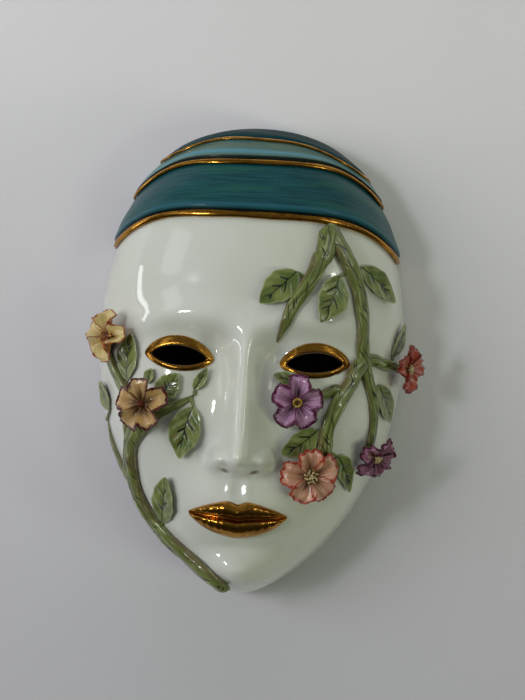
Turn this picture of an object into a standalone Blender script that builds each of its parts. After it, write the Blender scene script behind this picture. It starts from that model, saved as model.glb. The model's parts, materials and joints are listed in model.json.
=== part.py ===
"""A life-size porcelain masquerade mask for a wall, with a banded headwrap, gilded eyes and lips, and two
hand-formed sprays of stems, leaves and flowers.

The mask stands upright with its flat back rim in the plane y = 0 and its face towards -Y. +X is the viewer's
right and +Z is up. The origin is the middle of the rim under the chin. "left" and "right" are the viewer's.
Every length below is in millimetres; MM turns them into metres when an object is made.
"""

import math
from collections import namedtuple

import bmesh
import bpy
import numpy as np
from mathutils import Matrix, Vector

MM = 0.001

# ---------------------------------------------------------------- driving dimensions

# An egg is the smooth form of the head: half its width, its depth in front of the rim, and its two ends.
Egg = namedtuple("Egg", "half_width front chin top")
WIDEST_Z = 118.0
SECTION_POWER = 2.3
OUTER = Egg(75.0, 60.0, -3.0, 220.0)
INNER = Egg(71.0, 56.0, 3.0, 216.0)

# The face is laid out on the usual proportions of a head: the eye line half way up, an eye's width between
# the eyes, the nose and the mouth at the thirds below.
EYE_X = 31.0
EYE_Z = 112.0
EYE_HALF_LENGTH = 13.5
EYE_UPPER = 5.6
EYE_LOWER = 4.6
EYE_TILT = 0.05
MOUTH_Z = 41.0
MOUTH_HALF = 23.0

GAP = 0.3
SKIN_GAP = 0.45

BAND_LOWER_THICK = 2.8
BAND_MIDDLE_THICK = 4.8
BAND_CROWN_THICK = 5.8
GILT_RADIUS = 1.15
GILT_END_SHARE = 0.995

PIVOT_Y = -8.0
PIVOT_Z = 160.0
LUG_BORE_RADIUS = 1.35
LUG_INNER_X = 57.0
LUG_WALL_GAP = 0.8
WIRE_RADIUS = 1.0
WIRE_PIN_END_X = 63.5
BAIL_HALF_WIDTH = 52.0
BAIL_HEIGHT = 35.0
BAIL_LEAN_DEG = 7.0

# Places on the face are (share, height): the share runs from -1 at the left rim through 0 at the middle to 1
# at the right rim, and the height is the z of that level.
STEMS = {
    "right_main_stem": ([(0.338, 173), (0.385, 165.5), (0.42, 158.5), (0.455, 149.5), (0.478, 137), (0.486, 127),
                         (0.49, 119), (0.52, 108.5), (0.57, 99.5), (0.615, 88), (0.63, 81.5)], 3.1, 1.8),
    "right_inner_stem": ([(0.298, 161.5), (0.24, 150), (0.175, 138.5), (0.136, 128), (0.115, 121.5)], 3.5, 1.4),
    "right_temple_twig": ([(0.56, 115.5), (0.62, 113.5), (0.66, 113), (0.71, 112.8)], 2.1, 1.9),
    "right_diagonal_stem": ([(0.452, 106.5), (0.40, 97), (0.363, 87), (0.357, 79), (0.372, 74.5)], 2.7, 2.4),
    "right_flower_twig": ([(0.368, 101.5), (0.34, 99.3), (0.31, 97.7)], 1.6, 1.5),
    "left_main_stem": ([(-0.13, 7.5), (-0.32, 15.5), (-0.48, 25), (-0.59, 36), (-0.622, 47),
                        (-0.60, 57.5), (-0.56, 67.5), (-0.52, 74), (-0.47, 79.5)], 3.2, 2.8),
    "left_rim_twig": ([(-0.68, 53), (-0.73, 62), (-0.775, 72), (-0.775, 79.5)], 1.6, 1.3),
    "left_temple_stem": ([(-0.525, 93), (-0.60, 101.5), (-0.65, 107), (-0.69, 112.5)], 2.2, 1.8),
    "left_cheek_twig": ([(-0.36, 86), (-0.29, 89.5), (-0.235, 92), (-0.205, 94.5)], 2.1, 1.8),
}
# Each leaf: base, tip, width, how far its tip stands off the face.
LEAVES = {
    "right_brow_leaf": ((0.182, 153), (0.04, 137.5), 13.5, 2.0),
    "right_fork_leaf": ((0.368, 152.5), (0.277, 131), 13.5, 2.0),
    "right_forehead_leaf": ((0.487, 157.5), (0.695, 142.5), 11.0, 1.5),
    "right_temple_leaf": ((0.705, 117.5), (0.815, 133), 7.0, 1.5),
    "right_nose_leaf": ((0.245, 100.5), (0.10, 105.5), 7.5, 0.8),
    "right_side_leaf": ((0.605, 103.5), (0.755, 86.5), 11.0, 1.5),
    "right_cheek_leaf": ((0.315, 82.5), (0.155, 70.5), 10.5, 1.5),
    "right_jaw_leaf": ((0.444, 71), (0.60, 54), 8.0, 1.0),
    "left_cheek_leaf": ((-0.20, 90), (-0.262, 66.5), 14.0, 2.0),
    "left_under_eye_leaf": ((-0.36, 92), (-0.265, 104.2), 11.0, 1.0),
    "left_bud_leaf": ((-0.41, 98.5), (-0.38, 105.8), 4.5, 0.8),
    "left_temple_leaf": ((-0.525, 99.5), (-0.495, 121.5), 11.5, 1.5),
    "left_edge_leaf": ((-0.70, 84.5), (-0.765, 98), 9.5, 1.2),
    "left_jaw_leaf": ((-0.49, 34.5), (-0.34, 57.5), 13.0, 2.5),
    "left_blade_leaf": ((-0.198, 97), (-0.152, 107), 5.5, 0.8),
}
# Each flower: place, direction it faces, petal radius, height of its throat over the face, colour name, turn.
FLOWERS = {
    "yellow_flower": ((-0.61, 118.5), (-0.70, -0.71, 0.08), 13.0, 5.5, "cream_yellow", 0.10),
    "amber_flower": ((-0.405, 90.0), (-0.28, -0.95, -0.05), 12.6, 7.2, "amber", 0.35),
    "mauve_flower": ((0.205, 94.5), (0.12, -0.99, -0.04), 12.8, 5.2, "mauve", 0.25),
    "coral_flower": ((0.31, 62.5), (0.26, -0.96, -0.12), 13.5, 5.2, "coral", 0.50),
    "purple_flower": ((0.64, 73.5), (0.56, -0.64, -0.52), 12.0, 6.0, "purple", 0.20),
    "red_flower": ((0.77, 112.0), (0.88, -0.47, -0.06), 12.5, 6.0, "red", 0.45),
}


# ---------------------------------------------------------------- the head as a form

def smooth(t):
    """A soft step from 0 to 1."""
    t = np.clip(t, 0.0, 1.0)
    return t * t * (3.0 - 2.0 * t)


def grown(egg, by):
    return Egg(egg.half_width + by, egg.front + by, egg.chin - by, egg.top + by)


def level_of(egg, z):
    """How far z is below and above the widest level, each as a share from 0 to 1."""
    below = np.clip((WIDEST_Z - z) / (WIDEST_Z - egg.chin), 0.0, 1.0)
    above = np.clip((z - WIDEST_Z) / (egg.top - WIDEST_Z), 0.0, 1.0)
    return below, above


def width_at(egg, z):
    below, above = level_of(egg, z)
    jaw = (1.0 - below**2) ** 0.64
    dome = (1.0 - above**2.2) ** 0.45
    return egg.half_width * np.where(below > 0.0, jaw, dome)


def depth_at(egg, z):
    below, above = level_of(egg, z)
    jaw = (1.0 - below**4) ** 0.5
    dome = (1.0 - above**2.6) ** (1.0 / 2.2)
    return egg.front * np.where(below > 0.0, jaw, dome)


def hill(x, z, at_x, at_z, wide, tall):
    return np.exp(-(((x - at_x) / wide) ** 2) - ((z - at_z) / tall) ** 2)


def brow_relief(a, z):
    ridge_z = 130.5 - 5.0 * ((a - 26.0) / 26.0) ** 2
    ridge = 3.0 * np.exp(-(((z - ridge_z) / 7.5) ** 2)) * np.exp(-(((a - 27.0) / 24.0) ** 4))
    return ridge + 1.5 * hill(a, z, 0.0, 158.0, 30.0, 20.0) - 2.0 * hill(a, z, 60.0, 134.0, 13.0, 18.0)


def eye_relief(a, z):
    socket = -8.5 * hill(a, z, 29.0, 113.0, 19.0, 12.0) - 4.0 * hill(a, z, 14.5, 116.0, 6.5, 10.0)
    ball = (((a - EYE_X) / 15.5) ** 2 + ((z - 111.0) / 9.5) ** 2) ** 1.4
    return socket + 6.0 * np.exp(-ball)


def nose_relief(a, z):
    run = np.clip((124.0 - z) / 53.0, 0.0, 1.0)
    rise = smooth((139.0 - z) / 26.0)
    fall = smooth((z - 57.5) / 11.0)
    ridge = (5.0 + 8.0 * run**1.1) * rise * fall * np.exp(-((a / (5.8 + 2.2 * run**2)) ** 2))
    tip = 4.6 * hill(a, z, 0.0, 69.0, 7.4, 7.0)
    wing = 8.0 * hill(a, z, 10.4, 67.5, 4.0, 4.6)
    flank = 3.0 * hill(a, z, 0.0, 82.0, 14.0, 20.0) * fall
    return ridge + (tip + wing) * smooth((z - 58.5) / 6.0) + flank - 1.4 * hill(a, z, 17.0, 70.0, 3.0, 6.5)


def lower_relief(a, z):
    muzzle = 6.0 * hill(a, z, 0.0, 43.0, 25.0, 17.0)
    chin = 11.0 * hill(a, z, 0.0, 12.5, 16.0, 10.5) - 3.2 * hill(a, z, 0.0, 26.0, 16.0, 5.5)
    cheek = 4.5 * hill(a, z, 43.0, 86.0, 19.0, 19.0) - 1.8 * hill(a, z, 37.0, 50.0, 11.0, 17.0)
    return muzzle + chin + cheek


def relief(egg, x, z):
    """How far the face stands in front of the plain egg, fading out towards the rim."""
    a = np.abs(x)
    share = a / np.maximum(width_at(egg, z), 1e-6)
    height = brow_relief(a, z) + eye_relief(a, z) + nose_relief(a, z) + lower_relief(a, z)
    return height * smooth((1.0 - share) / 0.22)


def skin(egg, share, z):
    """The point of the face at a share round from the middle and a height, in front of the given egg."""
    share = np.asarray(share, float)
    z = np.asarray(z, float)
    side = np.sin(0.5 * math.pi * share)
    x = width_at(egg, z) * side
    bulge = np.clip(1.0 - np.abs(side) ** SECTION_POWER, 0.0, 1.0) ** (1.0 / SECTION_POWER)
    y = -depth_at(egg, z) * bulge - relief(egg, x, z)
    return np.stack(np.broadcast_arrays(x, y, z), axis=-1)


def level_z(egg, level):
    """The height of a level, which is 0 at the widest place and 1 at the top of the egg."""
    return WIDEST_Z + level * (egg.top - WIDEST_Z)


def form_value(points):
    """Zero on the outer face, above zero in front of it."""
    x, y, z = points[..., 0], points[..., 1], points[..., 2]
    across = np.abs(x) / np.maximum(width_at(OUTER, z), 1e-6)
    deep = np.maximum(-(y + relief(OUTER, x, z)), 0.0) / np.maximum(depth_at(OUTER, z), 1e-6)
    return (across**SECTION_POWER + deep**SECTION_POWER) ** (1.0 / SECTION_POWER) - 1.0


def height_and_normal(points):
    """How far points stand off the outer face, and its outward directions there."""
    step = 0.05
    slope = np.stack(
        [form_value(points + step * axis) - form_value(points - step * axis) for axis in np.eye(3)], axis=-1
    ) / (2.0 * step)
    steepness = np.maximum(np.linalg.norm(slope, axis=-1), 1e-9)
    return form_value(points) / steepness, slope / steepness[..., None]


def drape(points, height):
    """Moves points along the face's normals until they stand at the given height over it."""
    points = np.array(points, float)
    for _ in range(6):
        now, normal = height_and_normal(points)
        points += normal * (height - now)[..., None]
    return points


def smooth_path(places, spacing):
    """Points on the face along a curve through the given places, about the spacing apart."""
    places = np.array(places, float)
    padded = np.vstack([2 * places[0] - places[1], places, 2 * places[-1] - places[-2]])
    rows = []
    for i in range(1, len(padded) - 2):
        p0, p1, p2, p3 = padded[i - 1 : i + 3]
        length = np.linalg.norm(skin(OUTER, *p2) - skin(OUTER, *p1))
        count = max(2, round(length / spacing))
        for k in range(count):
            t = k / count
            rows.append(
                0.5 * (2 * p1 + (p2 - p0) * t + (2 * p0 - 5 * p1 + 4 * p2 - p3) * t**2
                       + (3 * p1 - p0 - 3 * p2 + p3) * t**3)
            )
    rows.append(places[-1])
    rows = np.array(rows)
    return skin(OUTER, rows[:, 0], rows[:, 1])


# ---------------------------------------------------------------- scene helpers

def clear_scene():
    for obj in list(bpy.data.objects):
        bpy.data.objects.remove(obj, do_unlink=True)


def finish_material(name, colour, roughness, metallic=0.0):
    material = bpy.data.materials.new(name)
    material.use_nodes = True
    shader = material.node_tree.nodes["Principled BSDF"]
    shader.inputs["Base Color"].default_value = (*colour, 1.0)
    shader.inputs["Roughness"].default_value = roughness
    shader.inputs["Metallic"].default_value = metallic
    material.diffuse_color = (*colour, 1.0)
    return material


def make_materials():
    finishes = {
        "white_glaze": ((0.80, 0.81, 0.77), 0.12, 0.0),
        "teal_glaze": ((0.02, 0.16, 0.18), 0.25, 0.0),
        "turquoise_glaze": ((0.22, 0.42, 0.42), 0.25, 0.0),
        "gilding": ((0.78, 0.47, 0.10), 0.22, 1.0),
        "stem_green": ((0.13, 0.15, 0.04), 0.25, 0.0),
        "leaf_green": ((0.10, 0.18, 0.04), 0.25, 0.0),
        "cream_yellow": ((0.70, 0.58, 0.28), 0.25, 0.0),
        "amber": ((0.50, 0.34, 0.14), 0.25, 0.0),
        "mauve": ((0.42, 0.22, 0.36), 0.22, 0.0),
        "coral": ((0.66, 0.30, 0.20), 0.25, 0.0),
        "purple": ((0.22, 0.10, 0.17), 0.25, 0.0),
        "red": ((0.50, 0.10, 0.04), 0.25, 0.0),
        "flower_centre": ((0.40, 0.28, 0.10), 0.35, 0.0),
        "hanger_brass": ((0.60, 0.44, 0.20), 0.35, 1.0),
    }
    return {name: finish_material(name, *values) for name, values in finishes.items()}


def add_object(name, data, material, parent):
    obj = bpy.data.objects.new(name, data)
    bpy.context.collection.objects.link(obj)
    if material is not None:
        data.materials.append(material)
    obj.parent = parent
    return obj


def add_mesh(name, points, faces, material, parent, sharp_deg=50.0):
    """A closed body from points in millimetres: doubled points become one and the faces turn outwards."""
    mesh = bpy.data.meshes.new(name)
    mesh.from_pydata([tuple(p) for p in np.asarray(points) * MM], [], faces)
    body = bmesh.new()
    body.from_mesh(mesh)
    bmesh.ops.remove_doubles(body, verts=body.verts, dist=0.01 * MM)
    bmesh.ops.recalc_face_normals(body, faces=body.faces)
    body.to_mesh(mesh)
    body.free()
    mesh.shade_smooth()
    mesh.set_sharp_from_angle(angle=math.radians(sharp_deg))
    return add_object(name, mesh, material, parent)


def grid_faces(rows, columns, start=0, flip=False):
    """Quads of a grid whose points are stored row by row."""
    faces = []
    for i in range(rows - 1):
        for j in range(columns - 1):
            a = start + i * columns + j
            quad = (a, a + 1, a + columns + 1, a + columns)
            faces.append(quad[::-1] if flip else quad)
    return faces


def border(rows, columns, start=0):
    """The outline of such a grid, once round."""
    top = [j for j in range(columns)]
    right = [i * columns + columns - 1 for i in range(1, rows)]
    bottom = [(rows - 1) * columns + j for j in range(columns - 2, -1, -1)]
    left = [i * columns for i in range(rows - 2, 0, -1)]
    return [start + k for k in top + right + bottom + left]


def slab(name, front, back, material, parent):
    """A solid between two grids of the same size, closed all round its edge."""
    rows, columns = front.shape[:2]
    size = rows * columns
    faces = grid_faces(rows, columns) + grid_faces(rows, columns, size, flip=True)
    ring_front = border(rows, columns)
    ring_back = border(rows, columns, size)
    for k in range(len(ring_front)):
        n = (k + 1) % len(ring_front)
        faces.append((ring_front[k], ring_back[k], ring_back[n], ring_front[n]))
    points = np.concatenate([front.reshape(-1, 3), back.reshape(-1, 3)])
    return add_mesh(name, points, faces, material, parent)


def ring_solid(name, rings, material, parent):
    """A closed ring: sections of equal size, each joined to the next and the last to the first."""
    count, size = rings.shape[:2]
    faces = []
    for i in range(count):
        for j in range(size):
            n = (i + 1) % count
            k = (j + 1) % size
            faces.append((i * size + j, i * size + k, n * size + k, n * size + j))
    return add_mesh(name, rings.reshape(-1, 3), faces, material, parent)


def tube(name, path, radii, material, parent, sides=6):
    """A round stem or wire with closed ends along a path in millimetres."""
    curve = bpy.data.curves.new(name, "CURVE")
    curve.dimensions = "3D"
    curve.bevel_depth = MM
    curve.bevel_resolution = sides // 2 - 2
    curve.use_fill_caps = True
    curve.render_resolution_u = 0
    spline = curve.splines.new("POLY")
    spline.points.add(len(path) - 1)
    for point, place, radius in zip(spline.points, path, radii):
        point.co = (*(place * MM), 1.0)
        point.radius = radius
    return add_object(name, curve, material, parent)


def cut(target, cutter):
    """Subtracts a wire-drawn cutter from a piece."""
    cutter.hide_render = True
    cutter.display_type = "WIRE"
    boolean = target.modifiers.new("cut " + cutter.name, "BOOLEAN")
    boolean.operation = "DIFFERENCE"
    boolean.solver = "EXACT"
    boolean.object = cutter


# ---------------------------------------------------------------- the porcelain shell

def shell_levels():
    """Heights of the shell's rows: close together over the features, closing in on both ends."""
    chin = [28.0 - 31.0 * math.sin(0.5 * math.pi * k / 6) for k in range(6, 0, -1)]
    middle = list(np.linspace(28.0, 134.0, 29))
    dome = [134.0 + 86.0 * math.sin(0.5 * math.pi * k / 10) for k in range(1, 11)]
    return np.array(chin + middle + dome)


def shell_shares(count):
    """Shares round the face, closer together in the middle."""
    q = np.linspace(-1.0, 1.0, count + 1)
    return q * (0.45 + 0.55 * q**2)


def inner_skin(share, z_outer):
    """The inside of the casting, which follows hollows fully and hills only in part."""
    rise = (z_outer - OUTER.chin) / (OUTER.top - OUTER.chin)
    z = INNER.chin + rise * (INNER.top - INNER.chin)
    side = np.sin(0.5 * math.pi * share)
    x = width_at(INNER, z) * side
    bulge = np.clip(1.0 - np.abs(side) ** SECTION_POWER, 0.0, 1.0) ** (1.0 / SECTION_POWER)
    bump = relief(INNER, x, z)
    y = -depth_at(INNER, z) * bulge - np.where(bump > 0.0, 0.6 * bump, bump)
    return np.stack(np.broadcast_arrays(x, y, z), axis=-1)


def face_shell(material, parent):
    """The slip-cast shell: an outside and an inside joined by the flat rim, with the eyes cut through."""
    levels = shell_levels()
    outer = skin(OUTER, *np.meshgrid(shell_shares(36), levels))
    inner = inner_skin(*np.meshgrid(np.linspace(-1.0, 1.0, 19), levels))
    rows, outer_columns = outer.shape[:2]
    inner_columns = inner.shape[1]
    start = rows * outer_columns
    for grid in (outer, inner):
        grid[:, [0, -1], 1] = 0.0
        grid[[0, -1], :, 1] = 0.0
    faces = grid_faces(rows, outer_columns) + grid_faces(rows, inner_columns, start, flip=True)
    for i in range(rows - 1):
        for column_out, column_in in ((0, 0), (outer_columns - 1, inner_columns - 1)):
            a, b = i * outer_columns + column_out, (i + 1) * outer_columns + column_out
            c, d = start + (i + 1) * inner_columns + column_in, start + i * inner_columns + column_in
            faces.append((a, b, c, d))
    points = np.concatenate([outer.reshape(-1, 3), inner.reshape(-1, 3)])
    shell = add_mesh("face_shell", points, faces, material, parent)
    for name, side in (("left", -1), ("right", 1)):
        cut(shell, eye_cutter(f"{name}_eye_cutter", side, parent))
    return shell


def eye_outline(side, grow_long, grow_tall, count):
    """An almond round an eye, level at its corners, as x and z for each angle."""
    angle = 2.0 * math.pi * np.arange(count) / count
    x = (EYE_HALF_LENGTH + grow_long) * np.cos(angle)
    tall = np.where(np.sin(angle) > 0.0, EYE_UPPER, EYE_LOWER) + grow_tall
    z = tall * np.sign(np.sin(angle)) * np.abs(np.sin(angle)) ** 1.35 + EYE_TILT * x
    return side * (EYE_X + x), EYE_Z + z


def eye_cutter(name, side, parent):
    count = 28
    x, z = eye_outline(side, 0.0, 0.0, count)
    near = np.stack([x, np.full(count, -75.0), z], axis=-1)
    far = np.stack([x, np.full(count, -20.0), z], axis=-1)
    faces = [tuple(range(count)), tuple(range(2 * count - 1, count - 1, -1))]
    faces += [(k, (k + 1) % count, count + (k + 1) % count, count + k) for k in range(count)]
    return add_mesh(name, np.concatenate([near, far]), faces, None, parent)


def skin_y(x, z):
    """The y of the outer face in front of a place given by x and z."""
    side = np.clip(np.abs(x) / width_at(OUTER, z), 0.0, 1.0)
    bulge = (1.0 - side**SECTION_POWER) ** (1.0 / SECTION_POWER)
    return -depth_at(OUTER, z) * bulge - relief(OUTER, x, z)


def eye_rim(name, side, material, parent):
    """The gilded lids: a lip lying on the face and a wall going in through the opening."""
    count = 28
    angle = 2.0 * math.pi * np.arange(count) / count
    lid = np.where(np.sin(angle) > 0.0, 3.9, 1.9)
    section = [(-1.1, -4.5), (-0.4, -4.5), (-0.4, SKIN_GAP), (None, SKIN_GAP), (None, 1.0), (0.6, 1.9), (-1.1, 1.3)]
    rings = np.zeros((count, len(section), 3))
    for j, (grow, height) in enumerate(section):
        grow_tall = lid if grow is None else np.full(count, grow)
        grow_long = 2.6 if grow is None else grow * 1.4
        x, z = eye_outline(side, grow_long, grow_tall, count)
        rings[:, j] = np.stack([x, skin_y(x, z) - height, z], axis=-1)
    return ring_solid(name, rings, material, parent)


def lip_heights(x, z):
    """How far the lips stand in front of the mouth's surroundings."""
    a = np.abs(x)
    line = MOUTH_Z + 1.2 * (a / MOUTH_HALF) ** 2 - 0.7 * np.exp(-((x / 3.2) ** 2))
    inside = np.clip(1.0 - (a / MOUTH_HALF) ** 2, 0.0, 1.0)
    up, down = lip_spans(x)
    share_up = np.clip((z - line) / up, 0.0, 1.0)
    share_down = np.clip((line - z) / down, 0.0, 1.0)
    upper = 3.4 * np.sqrt(inside) * (4.0 * share_up * (1.0 - share_up)) ** 0.55
    lower = 4.4 * np.sqrt(inside) * (4.0 * share_down * (1.0 - share_down)) ** 0.5
    groove = 1.2 * np.sqrt(inside) * np.exp(-(((z - line) / 0.9) ** 2))
    return np.maximum(upper + lower - groove, 0.0)


def lip_spans(x):
    """The heights of the upper and the lower lip at a place along the mouth."""
    a = np.abs(x)
    up = 8.2 * np.clip(1.0 - (a / MOUTH_HALF) ** 1.7, 0.0, 1.0) ** 0.95 - 1.8 * np.exp(-((x / 2.8) ** 2))
    down = 9.6 * np.clip(1.0 - (a / MOUTH_HALF) ** 2, 0.0, 1.0) ** 0.8
    return np.maximum(up, 0.4), np.maximum(down, 0.4)


def gilded_lips(material, parent):
    x = 0.97 * MOUTH_HALF * np.sin(0.5 * math.pi * np.linspace(-1.0, 1.0, 17))
    up, down = lip_spans(x)
    middle = MOUTH_Z + 1.2 * (np.abs(x) / MOUTH_HALF) ** 2
    across = np.array([-1.0, -0.8, -0.45, -0.12, 0.0, 0.12, 0.45, 0.8, 1.0])[:, None]
    z = middle + np.where(across > 0.0, across * up, across * down)
    x = np.broadcast_to(x, z.shape)
    base = skin_y(x, z)
    front = np.stack([x, base - SKIN_GAP - 0.5 - lip_heights(x, z), z], axis=-1)
    back = np.stack([x, base - SKIN_GAP, z], axis=-1)
    return slab("gilded_lips", front, back, material, parent)


# ---------------------------------------------------------------- the headwrap

def lower_line(share):
    return 0.598 - 0.14 * smooth(np.abs(share) / 0.95) ** 3


def middle_line(share):
    return 0.828 - 0.14 * smooth(np.abs(share) / 0.95) ** 4 + 0.01 * share


def upper_line(share):
    return 0.930 - 0.11 * smooth(np.abs(share) / 0.84) ** 2.6 - 0.02 * share


def band(name, low, high, off, thick, rows, material, parent):
    """A strip of the headwrap between two lines, from just off the shell to its own thickness."""
    share = np.linspace(-1.0, 1.0, 29)
    climb = np.linspace(0.0, 1.0, rows)[:, None]
    level = low(share) + (high(share) - low(share)) * np.sin(0.5 * math.pi * climb)
    share = np.broadcast_to(share, level.shape)
    grids = []
    for by in (thick, off):
        egg = grown(OUTER, by)
        grid = skin(egg, share, level_z(egg, level))
        grid[:, [0, -1], 1] = 0.0
        grids.append(grid)
    return slab(name, grids[0], grids[1], material, parent)


def gilt_edge(name, line, drop, height, material, parent):
    """A rolled edge that follows a line of the headwrap, standing on what is under it."""
    share = np.sin(0.5 * math.pi * np.linspace(-1.0, 1.0, 33)) * GILT_END_SHARE
    egg = grown(OUTER, height + GAP + GILT_RADIUS)
    path = skin(egg, share, level_z(egg, line(share)) - drop)
    return tube(name, path, [GILT_RADIUS] * len(path), material, parent)


def headwrap(materials, parent):
    gap_level = GAP / (OUTER.top - WIDEST_Z)
    band("headwrap_lower_band", lower_line, lambda s: middle_line(s) - gap_level, 0.5, BAND_LOWER_THICK, 6,
         materials["teal_glaze"], parent)
    band("headwrap_middle_band", middle_line, lambda s: upper_line(s) - gap_level, 0.8, BAND_MIDDLE_THICK, 5,
         materials["turquoise_glaze"], parent)
    band("headwrap_crown", upper_line, lambda s: np.ones_like(s), 1.3, BAND_CROWN_THICK, 8,
         materials["teal_glaze"], parent)
    drop = GILT_RADIUS + 0.5
    gilt_edge("headwrap_lower_gilt_edge", lower_line, drop, 0.2, materials["gilding"], parent)
    gilt_edge("headwrap_middle_gilt_edge", middle_line, drop, BAND_LOWER_THICK, materials["gilding"], parent)
    gilt_edge("headwrap_upper_gilt_edge", upper_line, drop, BAND_MIDDLE_THICK, materials["gilding"], parent)


# ---------------------------------------------------------------- stems, leaves and flowers

def stem(name, places, thick, thin, material, parent):
    path = smooth_path(places, 4.0)
    radii = np.linspace(thick, thin, len(path))
    path = drape(path, radii + SKIN_GAP)
    return tube(name, path, radii, material, parent)


def leaf(name, base, tip, width, lift, material, parent):
    """A pointed leaf lying on the face, its tip and its two margins raised a little."""
    along = np.linspace(0.0, 1.0, 8)
    across = np.linspace(-1.0, 1.0, 5)
    line = skin(OUTER, base[0] + (tip[0] - base[0]) * along, base[1] + (tip[1] - base[1]) * along)
    line = drape(line, np.zeros(len(along)))
    forward = np.gradient(line, axis=0)
    _, normal = height_and_normal(line)
    sideways = np.cross(normal, forward)
    sideways /= np.linalg.norm(sideways, axis=1)[:, None]
    half = 0.5 * width * np.sin(math.pi * along**0.85) ** 0.8 + 0.35
    flat = line[:, None] + sideways[:, None] * (half[:, None] * across)[..., None]
    under = SKIN_GAP + 0.2 + lift * along[:, None] ** 2 + 0.9 * np.abs(across) * np.sin(math.pi * along)[:, None]
    thick = 1.2 - 0.4 * np.abs(across)
    return slab(name, drape(flat, under + thick), drape(flat, under), material, parent)


def flower(name, place, facing, radius, throat, petals, centre, turn, parent):
    """Five petals joined round a throat on a short calyx, and a button in the throat."""
    foot_radius = 2.4
    ground = skin(OUTER, *place)
    _, normal = height_and_normal(ground[None])
    facing = np.array(facing) / np.linalg.norm(facing)
    tilt = math.sqrt(max(0.0, 1.0 - float(normal[0] @ facing) ** 2))
    foot = ground + normal[0] * (SKIN_GAP + 0.2 + foot_radius * tilt)
    turn_matrix = Vector(facing).to_track_quat("Z", "Y").to_matrix().to_4x4()
    matrix = Matrix.Translation(Vector(foot * MM)) @ turn_matrix @ Matrix.Rotation(turn, 4, "Z")
    lobes = 25
    angle = 2.0 * math.pi * np.arange(lobes) / lobes
    edge = 0.60 + 0.40 * np.abs(np.cos(2.5 * angle)) ** 0.7
    cup = 0.16 * radius
    well = 1.9
    profile = [(foot_radius, 0.0, 0), (2.0, 0.5 * throat, 0), (0.36 * radius, throat, 0),
               (0.74 * radius, throat + 0.4 * cup, 1), (radius, throat + cup, 1),
               (0.98 * radius, throat + cup + 0.9, 1), (0.70 * radius, throat + 0.4 * cup + 1.1, 1),
               (0.34 * radius, throat + 1.2, 0), (well, throat + 0.9, 0), (well, throat - 1.0, 0)]
    rings = []
    for far, high, lobed in profile:
        reach = far * (edge if lobed else np.ones(lobes))
        rings.append(np.stack([reach * np.cos(angle), reach * np.sin(angle), np.full(lobes, high)], axis=-1))
    points = [(0.0, 0.0, 0.0)] + [tuple(p) for ring in rings for p in ring] + [(0.0, 0.0, throat - 1.0)]
    last = len(points) - 1
    faces = []
    for k in range(lobes):
        n = (k + 1) % lobes
        faces.append((0, 1 + n, 1 + k))
        for i in range(len(rings) - 1):
            low, high = 1 + i * lobes, 1 + (i + 1) * lobes
            faces.append((low + k, low + n, high + n, high + k))
        faces.append((last, last - lobes + k, last - lobes + n))
    corolla = add_mesh(f"{name}_petals", points, faces, petals, parent)
    corolla.matrix_local = matrix
    add_button(f"{name}_centre", throat, well - GAP, matrix, centre, parent)


def add_button(name, throat, radius, matrix, material, parent):
    """A domed button standing in a flower's throat."""
    mesh = bpy.data.meshes.new(name)
    body = bmesh.new()
    bmesh.ops.create_uvsphere(body, u_segments=10, v_segments=6, radius=1.0)
    bmesh.ops.scale(body, vec=Vector((radius, radius, 1.9)) * MM, verts=body.verts)
    bmesh.ops.translate(body, vec=Vector((0.0, 0.0, (throat + 1.2) * MM)), verts=body.verts)
    body.to_mesh(mesh)
    body.free()
    mesh.shade_smooth()
    button = add_object(name, mesh, material, parent)
    button.matrix_local = matrix


# ---------------------------------------------------------------- the hanger

def inside_x(y, z):
    """Half the inside width of the shell at a depth and a height near the rim."""
    deep = np.clip(np.abs(y) / depth_at(INNER, z), 0.0, 1.0)
    return width_at(INNER, z) * (1.0 - deep**SECTION_POWER) ** (1.0 / SECTION_POWER)


def hanger_lug(name, side, material, parent):
    """A pierced block on the inside wall, narrower where it faces the middle."""
    y, z = np.meshgrid(PIVOT_Y + np.array([-5.0, -2.5, 0.0, 2.5, 5.0]), PIVOT_Z + np.array([-5.0, -2.5, 0.0, 2.5, 5.0]))
    wall = np.stack([side * (inside_x(y, z) - LUG_WALL_GAP), y, z], axis=-1)
    narrow = 0.8
    tip_y = PIVOT_Y + narrow * (y - PIVOT_Y)
    tip_z = PIVOT_Z + narrow * (z - PIVOT_Z)
    tip = np.stack([np.full(y.shape, side * LUG_INNER_X), tip_y, tip_z], axis=-1)
    lug = slab(name, wall, tip, material, parent)
    mesh = bpy.data.meshes.new(name + "_bore")
    body = bmesh.new()
    bmesh.ops.create_cone(body, cap_ends=True, segments=16, radius1=LUG_BORE_RADIUS * MM,
                          radius2=LUG_BORE_RADIUS * MM, depth=30.0 * MM)
    body.to_mesh(mesh)
    body.free()
    bore = add_object(name + "_bore", mesh, None, parent)
    bore.location = Vector((side * 62.0, PIVOT_Y, PIVOT_Z)) * MM
    bore.rotation_euler = (0.0, 0.5 * math.pi, 0.0)
    cut(lug, bore)
    return lug


def hanger_wire(material, parent):
    """A stiff wire bail whose two ends turn in the lugs. Its origin is on its pivot axis."""
    sweep = np.linspace(0.0, math.pi, 25)
    arch_x = BAIL_HALF_WIDTH * np.cos(sweep)
    arch_z = 1.5 + (BAIL_HEIGHT - 1.5) * np.sin(sweep)
    arch = np.stack([arch_x, np.zeros(25), arch_z], axis=-1)
    pin = np.array([[WIRE_PIN_END_X, 0.0, 0.0], [BAIL_HALF_WIDTH + 1.5, 0.0, 0.0]])
    path = np.concatenate([pin, arch, pin[::-1] * [-1, 1, 1]])
    wire = tube("hanger_wire", path, [WIRE_RADIUS] * len(path), material, parent, sides=8)
    wire.location = Vector((0.0, PIVOT_Y, PIVOT_Z)) * MM
    wire.rotation_euler = (-math.radians(BAIL_LEAN_DEG), 0.0, 0.0)
    return wire


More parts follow.
